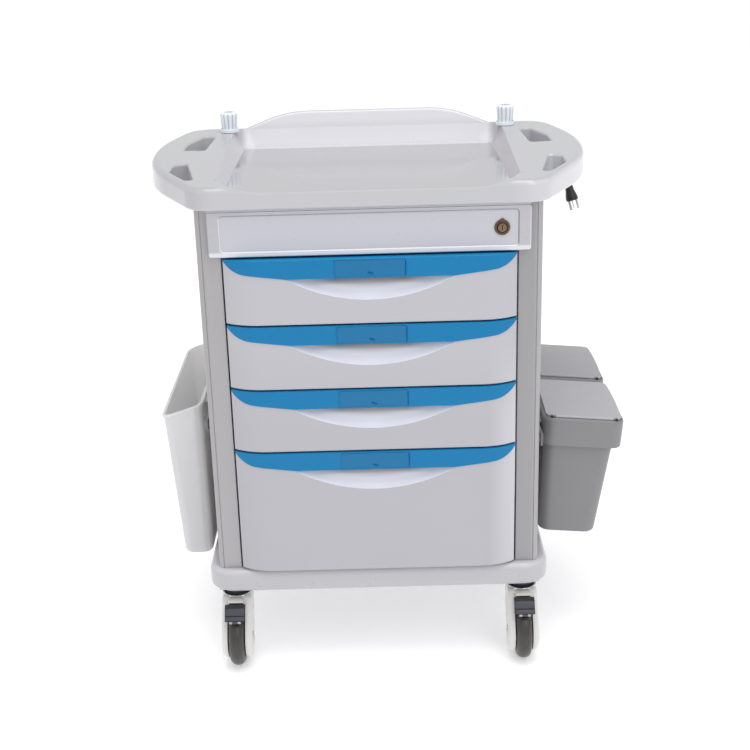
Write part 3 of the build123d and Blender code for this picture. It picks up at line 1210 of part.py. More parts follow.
# ------------------------------------------------------------------ assembly
def build_cart():
    parts["base"] = make_base()
    column = make_front_right_column()
    parts["front_right_column"] = column
    parts["front_left_column"] = mirrored(column)
    parts["rear_columns"] = Compound([mirror(column, Plane.XZ), mirror(mirrored(column), Plane.XZ)])
    parts["right_side_panel"] = make_side_panel()
    parts["left_side_panel"] = mirrored(make_side_panel())
    parts["back_panel"] = make_back_panel()
    parts["top_frame"] = make_top_frame()
    parts["worktop"] = make_worktop()
    parts["fascia"] = make_fascia()
    parts["lock_housing"] = make_lock_housing()
    parts["lock_barrel"] = make_lock_barrel()
    parts["lock_bar"] = make_lock_bar()
    rails = make_drawer_rails()
    parts["right_drawer_rails"] = rails
    parts["left_drawer_rails"] = mirrored(rails)
    for number, span in enumerate(drawer_spans(), start=1):
        parts[f"drawer_{number}_front"] = make_front(span)
        parts[f"drawer_{number}_band"] = make_band(span)
        parts[f"drawer_{number}_label_cover"] = make_label_cover(span)
        parts[f"drawer_{number}_box"] = make_drawer_box(span)
    parts["pole_sockets"] = make_pole_sockets()
    parts["left_pole_clamp"] = make_pole_clamp(-1)
    parts["right_pole_clamp"] = make_pole_clamp(1)
    parts["caster_mounts"] = make_caster_mounts()
    for end, y in (("front", -CASTER_Y), ("rear", CASTER_Y)):
        for hand, x in (("left", -CASTER_X), ("right", CASTER_X)):
            parts[f"{end}_{hand}_caster_fork"] = make_caster_fork(x, y, end == "front")
            parts[f"{end}_{hand}_wheel"] = make_wheel(x, y)
            if end == "front":
                parts[f"{end}_{hand}_brake_pedal"] = make_pedal(x, y)
    parts["bin_rails"] = make_bin_rails()
    parts["left_bin"] = make_left_bin()
    for name, y in (("front", FRONT_WASTE_Y), ("rear", REAR_WASTE_Y)):
        parts[f"{name}_waste_collar"] = make_waste_collar(y)
        parts[f"{name}_waste_box"] = make_waste_box(y)
        parts[f"{name}_waste_lid"] = make_waste_lid(y)
    parts["power_strip"] = make_power_strip()
    parts["cord_hooks"] = make_cord_hooks()
    winding = winding_points()
    lead, tail = lead_points(), tail_points()
    turn_radius = 0.98 * (PEG_RADIUS + CORD_RADIUS)
    parts["cord_lead"] = cord_tube("cord_lead", lead, corner_radii(lead))
    parts["cord_winding"] = cord_tube("cord_winding", winding, [turn_radius] * (len(winding) - 2))
    parts["cord_tail"] = cord_tube("cord_tail", tail, corner_radii(tail))
    parts["plug"] = make_plug()


build_cart()
for name, shape in parts.items():
    export_step(shape, os.path.join("parts", f"{name}.step"))
print(len(parts), "parts")
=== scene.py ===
import math

import bpy
from mathutils import Matrix, Vector


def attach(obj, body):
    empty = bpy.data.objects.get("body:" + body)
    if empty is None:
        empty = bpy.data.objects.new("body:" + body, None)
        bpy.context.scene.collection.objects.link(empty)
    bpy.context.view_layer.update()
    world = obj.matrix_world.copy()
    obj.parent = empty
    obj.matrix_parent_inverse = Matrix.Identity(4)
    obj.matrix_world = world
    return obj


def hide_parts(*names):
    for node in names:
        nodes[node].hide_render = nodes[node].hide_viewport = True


# A hospital crash cart in white ABS. The camera and the mains cord at the back come first, then
# every finish, then the small turned and bevelled pieces that dress the frame's solids, and last
# the studio. Lengths are in millimetres, and MM turns them into the scene's metres.

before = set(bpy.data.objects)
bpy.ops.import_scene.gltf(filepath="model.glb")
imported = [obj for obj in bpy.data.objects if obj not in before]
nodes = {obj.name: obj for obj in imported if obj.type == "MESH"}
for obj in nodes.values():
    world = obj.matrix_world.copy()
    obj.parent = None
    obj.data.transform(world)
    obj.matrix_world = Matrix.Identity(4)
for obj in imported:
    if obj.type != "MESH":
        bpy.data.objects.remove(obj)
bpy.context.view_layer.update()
MM = 0.001


def metres(*values):
    return tuple(v * MM for v in values)


# ------------------------------------------------------------------ camera
CAMERA_PLACE = metres(11.33, -2243.3, 1268.8)
CAMERA_PITCH, CAMERA_ROLL, CAMERA_YAW = 0.3504, 0.028, -0.0041
CAMERA_LENS, CAMERA_SENSOR = 62.78, 36
CAMERA_REACH = 100


def place_camera():
    pitch, roll, yaw = CAMERA_PITCH, CAMERA_ROLL, CAMERA_YAW
    forward = Vector((math.sin(yaw) * math.cos(pitch), math.cos(yaw) * math.cos(pitch),
                      -math.sin(pitch)))
    level_right = Vector((math.cos(yaw), -math.sin(yaw), 0))
    level_down = forward.cross(level_right)
    right = math.cos(roll) * level_right + math.sin(roll) * level_down
    down = -math.sin(roll) * level_right + math.cos(roll) * level_down
    data = bpy.data.cameras.new("studio_camera")
    data.lens = CAMERA_LENS
    data.sensor_width = CAMERA_SENSOR
    data.clip_end = CAMERA_REACH
    camera = bpy.data.objects.new("studio_camera", data)
    bpy.context.scene.collection.objects.link(camera)
    turn = Matrix((right, -down, -forward)).transposed().to_4x4()
    camera.matrix_world = Matrix.Translation(CAMERA_PLACE) @ turn
    bpy.context.scene.camera = camera


place_camera()

# ------------------------------------------------------------------ cord
CORD_DIAMETER = 7.0
# A curve's box grows by its points' radius. That radius is small, so the bevel depth is large.
CORD_POINT_RADIUS = 0.01
BACK_FACE_Y = 221.0
STRIP_RIGHT_X = 120.0
STRIP_Z = 714.0
RELIEF_LENGTH = 30.0
LEAD_BEND, LEAD_END, LEAD_RISE = 12.0, 28.0, 0.8
PEG_X = 196.0
PEG_SPACING = 140.0
WRAP_STANDOFF = 4.0
WRAP_RADIUS = 27.9
WRAP_SWELL = 1.055
WRAP_PITCH = 7.8
WRAPS = 3
LAST_WRAP_RISE, LAST_WRAP_LEAN = 1.2, 0.8
PEGS_LEFT_X = 222
PEGS_TO_CLIP = ((250, 236, 731), (286, 238, 758), (307, 216, 786))
CLIP = (337.2, 194.6, 807.0)
CLIP_HEADING = math.radians(-35.7)
CLIP_HALF_LENGTH = 12.6
PLUG_ENTRY = (368.0, 172.5, 770.0)
PLUG_LEAN = math.radians(18)
PLUG_STRAIGHT = 25.0


def wrap_depth(turn):
    return BACK_FACE_Y + WRAP_STANDOFF + CORD_DIAMETER / 2 + (WRAPS - turn) * WRAP_PITCH


def wrap_route():
    """Points of the cord round both pegs: half a turn over each, joined by two straight runs."""
    top_z, low_z = STRIP_Z - WRAP_RADIUS, STRIP_Z - WRAP_RADIUS - PEG_SPACING
    radius = WRAP_RADIUS * WRAP_SWELL
    steps = [(angle, top_z) for angle in (22, 58, 90)]
    steps += [(angle, low_z) for angle in (90, 122, 158, 202, 238, 270)]
    steps += [(angle, top_z) for angle in (270, 302, 338)]
    route = []
    for wrap in range(WRAPS):
        for angle, centre_z in steps:
            turn = math.radians(angle)
            route.append((PEG_X + radius * math.sin(turn), wrap_depth(wrap + angle / 360),
                          centre_z + radius * math.cos(turn)))
    return route


def plug_direction():
    across = Vector((math.cos(CLIP_HEADING), math.sin(CLIP_HEADING), 0))
    return across * math.sin(PLUG_LEAN) + Vector((0, 0, -math.cos(PLUG_LEAN)))


def cord_route():
    """From the strip's relief round the pegs, then up to the clip and down to the plug."""
    exit_x = STRIP_RIGHT_X + RELIEF_LENGTH
    start_y, end_y = wrap_depth(0), wrap_depth(WRAPS)
    along = Vector((math.cos(CLIP_HEADING), math.sin(CLIP_HEADING), 0))
    clip, entry = Vector(CLIP), Vector(PLUG_ENTRY)
    route = [(exit_x, start_y, STRIP_Z), (exit_x + LEAD_BEND, start_y, STRIP_Z),
             (exit_x + LEAD_END, start_y, STRIP_Z + LEAD_RISE)]
    route += wrap_route()
    route += [(PEG_X, end_y, STRIP_Z + LAST_WRAP_RISE),
              (PEGS_LEFT_X, end_y - LAST_WRAP_LEAN, STRIP_Z)]
    route += PEGS_TO_CLIP
    route += [tuple(clip - along * CLIP_HALF_LENGTH), tuple(clip + along * CLIP_HALF_LENGTH),
              tuple(entry - plug_direction() * PLUG_STRAIGHT), tuple(entry)]
    return route


def make_cord():
    curve = bpy.data.curves.new("power_cord", "CURVE")
    curve.dimensions = "3D"
    curve.bevel_depth = CORD_DIAMETER / 2 * MM / CORD_POINT_RADIUS
    curve.bevel_resolution = 5
    curve.resolution_u = 8
    curve.use_fill_caps = True
    spline = curve.splines.new("NURBS")
    route = cord_route()
    spline.points.add(len(route) - 1)
    for point, place in zip(spline.points, route):
        point.co = (*metres(*place), 1)
        point.radius = CORD_POINT_RADIUS
    spline.order_u = 3
    spline.use_endpoint_u = True
    cord = bpy.data.objects.new("power_cord", curve)
    bpy.context.scene.collection.objects.link(cord)
    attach(cord, "cart")
    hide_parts("cord_lead", "cord_winding", "cord_tail")
    return cord


cord = make_cord()

# ------------------------------------------------------------------ finishes
COAT_ROUGHNESS = 0.08
LEAST_ROUGHNESS = 0.02
finishes = {}


class Finish:
    """One material built node by node on Object coordinates, and kept in finishes."""

    def __init__(self, name, colour, roughness, metallic=0.0, coat=0.0, specular=0.5):
        self.material = bpy.data.materials.new(name)
        self.material.use_nodes = True
        self.tree = self.material.node_tree
        self.shader = self.tree.nodes["Principled BSDF"]
        self.colour = (*colour, 1)
        self.roughness = roughness
        self.set(self.shader, {
            "Base Color": self.colour, "Roughness": roughness, "Metallic": metallic,
            "Coat Weight": coat, "Coat Roughness": COAT_ROUGHNESS, "Specular IOR Level": specular})
        self.place = self.node("ShaderNodeTexCoord").outputs["Object"]
        self.height = None
        finishes[name] = self

    def set(self, node, values):
        for socket, value in values.items():
            node.inputs[socket].default_value = value

    def node(self, kind, **settings):
        made = self.tree.nodes.new(kind)
        for key, value in settings.items():
            setattr(made, key, value)
        return made

    def link(self, source, target):
        self.tree.links.new(source, target)

    def calc(self, operation, first, second=None):
        """A maths node on one or two values, each of them a socket or a number."""
        made = self.node("ShaderNodeMath", operation=operation)
        for value, target in zip((first, second), made.inputs):
            if isinstance(value, (int, float)):
                target.default_value = value
            elif value is not None:
                self.link(value, target)
        return made.outputs[0]

    def ranged(self, value, low, high, at_low=0.0, at_high=1.0, kind="LINEAR"):
        """A value between low and high, turned into one between at_low and at_high."""
        made = self.node("ShaderNodeMapRange", interpolation_type=kind)
        self.set(made, {"From Min": low, "From Max": high, "To Min": at_low, "To Max": at_high})
        self.link(value, made.inputs["Value"])
        return made.outputs["Result"]

    def noise(self, scale, detail=3.0, stretch=None):
        source = self.place
        if stretch:
            mapping = self.node("ShaderNodeMapping")
            self.set(mapping, {"Scale": stretch})
            self.link(source, mapping.inputs["Vector"])
            source = mapping.outputs["Vector"]
        made = self.node("ShaderNodeTexNoise")
        self.set(made, {"Scale": scale, "Detail": detail})
        self.link(source, made.inputs["Vector"])
        return made.outputs["Fac"]

    def mottle(self, scale, other, stretch=None):
        """Blends the main colour towards another in soft patches."""
        ramp = self.node("ShaderNodeValToRGB")
        first, last = ramp.color_ramp.elements
        first.position, last.position = 0.35, 0.65
        first.color, last.color = self.colour, (*other, 1)
        self.link(self.noise(scale, stretch=stretch), ramp.inputs["Fac"])
        self.link(ramp.outputs["Color"], self.shader.inputs["Base Color"])
        return self

    def uneven_gloss(self, scale, spread, stretch=None):
        smooth = max(self.roughness - spread, LEAST_ROUGHNESS)
        result = self.ranged(self.noise(scale, 4.0, stretch), 0.3, 0.7, smooth,
                             self.roughness + spread)
        self.link(result, self.shader.inputs["Roughness"])
        return self

    def relief(self, scale, depth, strength=1.0, stretch=None):
        """Adds a bump layer, on top of any layer before it."""
        bump = self.node("ShaderNodeBump")
        self.set(bump, {"Strength": strength, "Distance": depth * MM})
        self.link(self.noise(scale, 2.0, stretch), bump.inputs["Height"])
        if self.height:
            self.link(self.height, bump.inputs["Normal"])
        self.height = bump.outputs["Normal"]
        self.link(self.height, self.shader.inputs["Normal"])
        return self

    def blend(self, factor, socket_name, kind, own, other):
        """Mixes what a shader socket has so far, or its own value, with another value."""
        mix = self.node("ShaderNodeMix", data_type=kind)
        self.set(mix, {"A": own, "B": other})
        socket = self.shader.inputs[socket_name]
        if socket.is_linked:
            self.link(socket.links[0].from_socket, mix.inputs["A"])
        self.link(factor, mix.inputs["Factor"])
        self.link(mix.outputs["Result"], socket)

    def tint(self, factor, other):
        self.blend(factor, "Base Color", "RGBA", self.colour, (*other, 1))
        return self

    def inside(self, box, soft):
        """1 inside a box, falling to 0 over soft outside it: one length, or one for each axis."""
        place = self.node("ShaderNodeSeparateXYZ")
        self.link(self.place, place.inputs["Vector"])
        fades = soft if isinstance(soft, tuple) else (soft, soft, soft)
        factor = None
        for axis, start, end, fade in zip("XYZ", *box, fades):
            middle, half = (start + end) / 2 * MM, (end - start) / 2 * MM
            away = self.calc("ABSOLUTE", self.calc("SUBTRACT", place.outputs[axis], middle))
            side = self.ranged(away, half, half + fade * MM, 1, 0)
            factor = self.calc("MULTIPLY", factor, side) if factor else side
        return factor

    def zone(self, box, other, soft=1.0, gloss=None):
        """Another colour, and if given another roughness, inside a box."""
        factor = self.inside(box, soft)
        if gloss is not None:
            self.blend(factor, "Roughness", "FLOAT", self.roughness, gloss)
        return self.tint(factor, other)

    def facing(self, direction, other, low, high, box=None, soft=5.0):
        """Another colour where the surface faces a way, and only inside a box if one is given:
        painted light or shade by the way a surface faces.
        """
        turned_to = self.node("ShaderNodeVectorMath", operation="DOT_PRODUCT")
        self.link(self.node("ShaderNodeTexCoord").outputs["Normal"], turned_to.inputs[0])
        turned_to.inputs[1].default_value = direction
        factor = self.ranged(turned_to.outputs["Value"], low, high, kind="SMOOTHSTEP")
        if box:
            factor = self.calc("MULTIPLY", factor, self.inside(box, soft))
        return self.tint(factor, other)

    # Painted light or shade on faces that look up.
    def upward(self, other, low=0.1, high=0.8, box=None):
        return self.facing((0, 0, 1), other, low, high, box)

    def shaded_grooves(self, centre, count, other):
        """Another colour in grooves round an upright axis at +X, and round its mirror at -X:
        painted shade in the grooves.
        """
        place = self.node("ShaderNodeSeparateXYZ")
        self.link(self.place, place.inputs["Vector"])
        across = self.calc("SUBTRACT", self.calc("ABSOLUTE", place.outputs["X"]), centre[0] * MM)
        along = self.calc("SUBTRACT", place.outputs["Y"], centre[1] * MM)
        angle = self.calc("ARCTAN2", along, across)
        wave = self.calc("COSINE", self.calc("MULTIPLY", angle, count))
        return self.tint(self.ranged(wave, 0.25, 0.85, kind="SMOOTHSTEP"), other)

    def translucent(self, share, reach):
        """Lets light through thin walls."""
        self.set(self.shader, {"Subsurface Weight": share, "Subsurface Radius": (1.0, 1.0, 1.0),
                               "Subsurface Scale": reach * MM})
        return self


# Boxes of the moulded whites, the tray and its walls, the columns, caster plates and bins, each
# from its low to its high corner. All but BEARING_RIMS bound painted light or shade; BEARING_RIMS
# bounds the caster plates' own pale colour.
DRAWER_TOPS = (735.0, 624.7, 514.4, 404.1)
DRAWERS_RIGHT_END_LIGHT = ((245, -300, 100), (300, -200, 740))
UPPER_DRAWERS_LIGHT = ((-500, -300, 600), (500, -200, 740))
FASCIA_FIELD_LIGHT = ((-234, -260, 749), (234, -233, 803))
FASCIA_FOOT_LIGHT = ((-262, -240, 733), (262, -230, 745.5))
TRAY_FLOOR_SHADE = ((-238, -226, 828), (238, 226, 832.4))
TRAY_RIGHT_WALL_SHADE = ((150, -190, 834), (262, 196, 870))
BACKSPLASH = ((-225, 205, 832.8), (225, 275, 930))
BACKSPLASH_TOP = ((-225, 205, 878), (225, 275, 930))
BACKSPLASH_RIM = ((-270, 225, 862), (270, 250, 900))
LEFT_EAR_FRONT_SHADE = ((-400, -300, 760), (-330, 60, 870))
RIGHT_EAR_FRONT_LIGHT = ((360, -300, 760), (400, 60, 870))
RIGHT_COLUMN_INNER_SHADE = ((226, -240, 180), (262, 0, 830))
BEARING_RIMS = ((-400, -400, 139.3), (400, 400, 144))
LEFT_BIN_REAR_LIGHT = ((-400, 40, 150), (-290, 220, 460))
REAR_LID_SHADE = ((280, 40, 380), (440, 230, 480))
POLE_X, POLE_Y = 256.5, 204.0
FORWARD, RIGHT, LEFT, DOWN = (0, -1, 0), (1, 0, 0), (-1, 0, 0), (0, 0, -1)


def scoop_shade(top):
    """The box of the shaded head of a drawer's scoop, under the blue band."""
    return (-55, -237, top - 37), (55, -200, top - 26)


def make_white_finishes():
    # The base's upward faces are lighter: painted light.
    (Finish("moulded_white", (0.50, 0.49, 0.51), 0.3, coat=0.15)
     .mottle(5, (0.491, 0.482, 0.50)).uneven_gloss(40, 0.03).relief(420, 0.006)
     .upward((0.60, 0.59, 0.615)))
    # Drawer fronts: lighter at the right ends and on the upper three drawers, and much lighter on
    # upward faces such as the scoops, all painted light; the scoops' heads are darkened as painted
    # shade under the bands.
    drawer = (Finish("drawer_white", (0.45, 0.442, 0.472), 0.34, coat=0.1)
              .mottle(7, (0.443, 0.435, 0.465)).uneven_gloss(55, 0.03).relief(700, 0.005)
              .zone(DRAWERS_RIGHT_END_LIGHT, (0.60, 0.60, 0.64), 55.0)
              .zone(UPPER_DRAWERS_LIGHT, (0.48, 0.472, 0.502), 150.0)
              .upward((0.88, 0.88, 0.95), 0.03, 0.5))
    for top in DRAWER_TOPS:
        drawer.zone(scoop_shade(top), (0.18, 0.18, 0.20), (55.0, 9.0, 9.0))
    # Fascia: a lighter field and a much lighter foot, lighter right-facing and upward faces and
    # darker left- and down-facing faces, all painted light and shade.
    (Finish("fascia_white", (0.465, 0.46, 0.49), 0.3, coat=0.15)
     .mottle(7, (0.457, 0.452, 0.482)).uneven_gloss(55, 0.03).relief(700, 0.005)
     .zone(FASCIA_FIELD_LIGHT, (0.515, 0.515, 0.56), 1.0)
     .zone(FASCIA_FOOT_LIGHT, (0.68, 0.68, 0.72), 2.0)
     .facing(RIGHT, (0.70, 0.69, 0.73), 0.2, 0.6)
     .facing(LEFT, (0.28, 0.275, 0.30), 0.2, 0.6)
     .facing(DOWN, (0.28, 0.275, 0.30), 0.2, 0.6)
     .upward((0.72, 0.72, 0.77), 0.2, 0.6))
    # Worktop: darker upward faces, a darker tray floor, a lighter backsplash with a mid-toned rim
    # top, a darker tray right wall, a lighter right ear front and a darker left ear front, all
    # painted light and shade; the tray floor's lower roughness is a real glossy mat.
    (Finish("worktop_white", (0.505, 0.50, 0.527), 0.2, coat=0.35)
     .mottle(4, (0.498, 0.493, 0.52)).uneven_gloss(30, 0.03).relief(300, 0.005)
     .upward((0.41, 0.41, 0.425), 0.35, 0.95)
     .zone(TRAY_FLOOR_SHADE, (0.357, 0.357, 0.372), 0.3, gloss=0.07)
     .facing(FORWARD, (0.82, 0.815, 0.85), -0.25, 0.2, BACKSPLASH, 12.0)
     .facing(FORWARD, (0.88, 0.875, 0.91), -0.25, 0.2, BACKSPLASH_TOP, 10.0)
     .upward((0.50, 0.50, 0.52), 0.3, 0.9, BACKSPLASH_RIM)
     .facing((-0.9, 0, 0.4), (0.36, 0.345, 0.36), 0.5, 0.85, TRAY_RIGHT_WALL_SHADE, 8.0)
     .facing((0.3, -0.95, 0), (0.70, 0.70, 0.745), 0.3, 0.8, RIGHT_EAR_FRONT_LIGHT, 140.0)
     .facing((-0.3, -0.95, 0), (0.43, 0.425, 0.45), 0.3, 0.8, LEFT_EAR_FRONT_SHADE, 90.0))
    (Finish("panel_white", (0.55, 0.545, 0.56), 0.45)
     .mottle(6, (0.54, 0.535, 0.55)).relief(1500, 0.01).relief(500, 0.01))
    (Finish("tub_white", (0.55, 0.545, 0.56), 0.42)
     .mottle(8, (0.54, 0.535, 0.55)).relief(900, 0.01))
    (Finish("hood_white", (0.70, 0.69, 0.665), 0.3, coat=0.2)
     .mottle(25, (0.69, 0.68, 0.653)).uneven_gloss(150, 0.04).relief(700, 0.006))
    # The clamps' grooves are darker: painted shade.
    (Finish("clamp_white", (0.90, 0.94, 0.98), 0.25, coat=0.3)
     .mottle(60, (0.89, 0.93, 0.97)).relief(700, 0.006)
     .shaded_grooves((POLE_X, POLE_Y), 12, (0.56, 0.62, 0.72)))
    (Finish("collar_white", (0.80, 0.84, 0.90), 0.25, coat=0.3)
     .mottle(60, (0.79, 0.83, 0.89)).relief(700, 0.006))
    (Finish("strip_white", (0.56, 0.56, 0.55), 0.3, coat=0.2)
     .mottle(20, (0.55, 0.55, 0.54)).relief(900, 0.01))


def make_blue_finishes():
    # The bands' upward faces, such as their top edges, are lighter: a painted highlight.
    (Finish("pull_blue", (0.0005, 0.18, 0.405), 0.32, coat=0.05, specular=0.24)
     .mottle(9, (0.001, 0.187, 0.415)).uneven_gloss(60, 0.04).relief(600, 0.006)
     .upward((0.02, 0.30, 0.62), 0.1, 0.7))
    (Finish("label_blue", (0.002, 0.152, 0.345), 0.22, coat=0.05, specular=0.3)
     .mottle(14, (0.004, 0.158, 0.352)).uneven_gloss(80, 0.03).relief(200, 0.008))
    # A dark blue for the label covers' right edges and finger notches: painted shade.
    (Finish("shade_line_blue", (0.001, 0.10, 0.30), 0.5, specular=0.05)
     .mottle(120, (0.001, 0.11, 0.31)).relief(900, 0.01))


def make_metal_finishes():
    # The right column's inner face is darker: painted shade.
    (Finish("column_grey", (0.40, 0.39, 0.395), 0.38, metallic=0.3)
     .mottle(30, (0.38, 0.37, 0.375), stretch=(1, 1, 0.02))
     .uneven_gloss(260, 0.04, (1, 1, 0.012)).relief(900, 0.006, stretch=(1, 1, 0.01))
     .zone(RIGHT_COLUMN_INNER_SHADE, (0.325, 0.32, 0.33), 8.0))
    (Finish("steel", (0.42, 0.42, 0.43), 0.32, metallic=0.9)
     .mottle(60, (0.38, 0.38, 0.39)).uneven_gloss(200, 0.06).relief(900, 0.006))
    (Finish("bright_steel", (0.62, 0.62, 0.60), 0.2, metallic=1.0)
     .mottle(80, (0.57, 0.57, 0.55)).uneven_gloss(300, 0.05).relief(1200, 0.004))
    (Finish("lock_bronze", (0.14, 0.092, 0.062), 0.33, metallic=0.75)
     .mottle(500, (0.10, 0.066, 0.045)).uneven_gloss(700, 0.06).relief(1500, 0.006))
    (Finish("barrel_bronze", (0.24, 0.165, 0.105), 0.35, metallic=0.8)
     .mottle(400, (0.19, 0.13, 0.085)).uneven_gloss(700, 0.06).relief(1500, 0.006))
    # A dark colour for the caster mounts' rings and the discs inside the races: painted shade
    # under the base. The mounts' plates above it keep a pale colour of their own.
    (Finish("mount_shade_dark", (0.06, 0.072, 0.075), 0.45, metallic=0.3)
     .mottle(90, (0.075, 0.088, 0.09)).uneven_gloss(300, 0.06).relief(1200, 0.01)
     .zone(BEARING_RIMS, (0.55, 0.55, 0.57), 0.2))


def make_dark_finishes():
    (Finish("tyre_grey", (0.042, 0.038, 0.036), 0.34)
     .mottle(120, (0.05, 0.045, 0.042)).uneven_gloss(400, 0.06).relief(1800, 0.02))
    (Finish("wheel_core", (0.20, 0.19, 0.18), 0.35)
     .mottle(60, (0.18, 0.17, 0.16)).relief(900, 0.01))
    (Finish("pedal_grey", (0.055, 0.056, 0.072), 0.4)
     .mottle(90, (0.062, 0.063, 0.08)).uneven_gloss(300, 0.05).relief(1400, 0.015))
    (Finish("pedal_dark", (0.012, 0.012, 0.015), 0.5)
     .mottle(90, (0.018, 0.018, 0.022)).relief(1400, 0.015))
    (Finish("hook_grey", (0.16, 0.16, 0.17), 0.4)
     .mottle(30, (0.15, 0.15, 0.16)).relief(900, 0.01))
    (Finish("cord_black", (0.012, 0.012, 0.013), 0.38)
     .mottle(60, (0.018, 0.018, 0.02)).uneven_gloss(120, 0.08).relief(1600, 0.02))
    (Finish("shadow_black", (0.008, 0.008, 0.009), 0.6)
     .mottle(200, (0.012, 0.012, 0.013)).relief(900, 0.02))


def make_bin_finishes():
    # The left bin's inner faces, facing right and forward, are much lighter: painted light.
    inside_painted_light = (0.95, 0.93, 0.90)
    (Finish("bin_cream", (0.68, 0.67, 0.685), 0.42)
     .mottle(9, (0.67, 0.66, 0.673)).uneven_gloss(70, 0.04)
     .relief(1100, 0.01).relief(14, 0.03, 0.5)
     .facing(RIGHT, inside_painted_light, 0.3, 0.7)
     .facing(FORWARD, inside_painted_light, 0.3, 0.7, LEFT_BIN_REAR_LIGHT)
     .translucent(0.6, 12.0))
    (Finish("bin_grey", (0.23, 0.225, 0.234), 0.4)
     .mottle(9, (0.223, 0.218, 0.227)).uneven_gloss(70, 0.04)
     .relief(1100, 0.01).relief(14, 0.03, 0.5))
    # The rear lid is darker: painted shade.
    (Finish("lid_grey", (0.43, 0.425, 0.447), 0.36)
     .mottle(9, (0.42, 0.415, 0.436)).uneven_gloss(70, 0.04)
     .zone(REAR_LID_SHADE, (0.37, 0.365, 0.383), 20.0)
     .relief(1100, 0.01).relief(10, 0.03, 0.5))


make_white_finishes()
make_blue_finishes()
make_metal_finishes()
make_dark_finishes()
make_bin_finishes()

NODE_FINISH = {
    "base": "moulded_white", "front_left_column": "column_grey",
    "front_right_column": "column_grey", "rear_columns": "column_grey",
    "left_side_panel": "panel_white", "right_side_panel": "panel_white",
    "back_panel": "panel_white", "top_frame": "steel", "worktop": "worktop_white",
    "fascia": "fascia_white", "lock_housing": "lock_bronze", "lock_barrel": "barrel_bronze",
    "lock_bar": "steel", "left_drawer_rails": "steel", "right_drawer_rails": "steel",
    "pole_sockets": "worktop_white", "left_pole_clamp": "clamp_white",
    "right_pole_clamp": "clamp_white", "caster_mounts": "mount_shade_dark", "bin_rails": "hook_grey",
    "left_bin": "bin_cream", "power_strip": "strip_white", "cord_hooks": "hook_grey",
}
ENDINGS = {
    "_front": "drawer_white", "_band": "pull_blue", "_label_cover": "label_blue",
    "_box": "tub_white", "_caster_fork": "hood_white", "_wheel": "tyre_grey",
    "_brake_pedal": "pedal_dark", "_waste_collar": "bin_grey", "_waste_box": "bin_grey",
    "_waste_lid": "lid_grey",
}


def finish_of(name):
    if name in NODE_FINISH:
        return NODE_FINISH[name]
    for ending in sorted(ENDINGS, key=len, reverse=True):
        if name.endswith(ending):
            return ENDINGS[ending]
    return "cord_black"


def paint(piece, finish):
    piece.data.materials.clear()
    piece.data.materials.append(finishes[finish].material)


for node_name, node_object in nodes.items():
    paint(node_object, finish_of(node_name))
paint(cord, "cord_black")

# ------------------------------------------------------------------ modelling by operators
MERGE_DISTANCE = 0.00001
SMOOTH_ANGLE = math.radians(35)


def clear_selection():
    if bpy.context.object and bpy.context.object.mode != "OBJECT":
        bpy.ops.object.mode_set(mode="OBJECT")
    bpy.ops.object.select_all(action="DESELECT")


def settle(piece, name, finish, body):
    """Names a finished piece, puts its place in its mesh and lets it ride on its body."""
    clear_selection()
    piece.select_set(True)
    bpy.context.view_layer.objects.active = piece
    bpy.ops.object.transform_apply(location=True, rotation=True, scale=True)
    piece.name = name
    piece.data.name = name
    bpy.ops.object.mode_set(mode="EDIT")
    bpy.ops.mesh.select_all(action="SELECT")
    bpy.ops.mesh.remove_doubles(threshold=MERGE_DISTANCE)
    bpy.ops.mesh.normals_make_consistent(inside=False)
    bpy.ops.object.mode_set(mode="OBJECT")
    bpy.ops.object.shade_smooth_by_angle(angle=SMOOTH_ANGLE)
    paint(piece, finish)
    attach(piece, body)
    piece.select_set(False)
    return piece


def turned(centre, axis, profile, segments=48, hollow=False):
    """A lathe-turned solid: a circle extruded and resized along its axis, closed at both ends.

    profile holds pairs of a distance along the axis and a radius. A hollow piece is a ring
    whose last circle joins the first one.
    """
    clear_selection()
    axis = Vector(axis).normalized()
    turn = axis.to_track_quat("Z", "Y").to_euler()
    first, radius = profile[0]
    bpy.ops.mesh.primitive_circle_add(vertices=segments, radius=1.0,
                                      fill_type="NOTHING" if hollow else "NGON")
    piece = bpy.context.object
    bpy.ops.object.mode_set(mode="EDIT")
    bpy.ops.transform.resize(value=(radius * MM,) * 3, center_override=(0, 0, 0))
    last = first
    for distance, next_radius in profile[1:] + (profile[:1] if hollow else []):
        bpy.ops.mesh.extrude_region_move(
            TRANSFORM_OT_translate={"value": (0, 0, (distance - last) * MM)})
        ratio = next_radius / radius
        level = (distance - first) * MM
        bpy.ops.transform.resize(value=(ratio, ratio, 1), center_override=(0, 0, level))
        last, radius = distance, next_radius
    bpy.ops.object.mode_set(mode="OBJECT")
    piece.location = Vector(centre) * MM + axis * first * MM
    piece.rotation_euler = turn
    return piece


def bevelled_block(low, high, bevel, segments=2):
    """A block between two corners with every edge rounded."""
    clear_selection()
    low, high = Vector(low) * MM, Vector(high) * MM
    bpy.ops.mesh.primitive_cube_add(size=1, location=(low + high) / 2)
    piece = bpy.context.object
    piece.scale = high - low
    bpy.ops.object.transform_apply(location=True, rotation=False, scale=True)
    bpy.ops.object.mode_set(mode="EDIT")
    bpy.ops.mesh.select_all(action="SELECT")
    bpy.ops.mesh.bevel(offset=bevel * MM, segments=segments, affect="EDGES")
    bpy.ops.object.mode_set(mode="OBJECT")
    return piece


def centred_block(half_x, half_y, half_z, bevel):
    return bevelled_block((-half_x, -half_y, -half_z), (half_x, half_y, half_z), bevel)


def place_turned(piece, place, angle, axis):
    """Turns a piece modelled round the origin about an axis, and moves it to its place."""
    turn = Matrix.Rotation(angle, 4, axis)
    piece.matrix_world = Matrix.Translation(metres(*place)) @ turn
    return piece


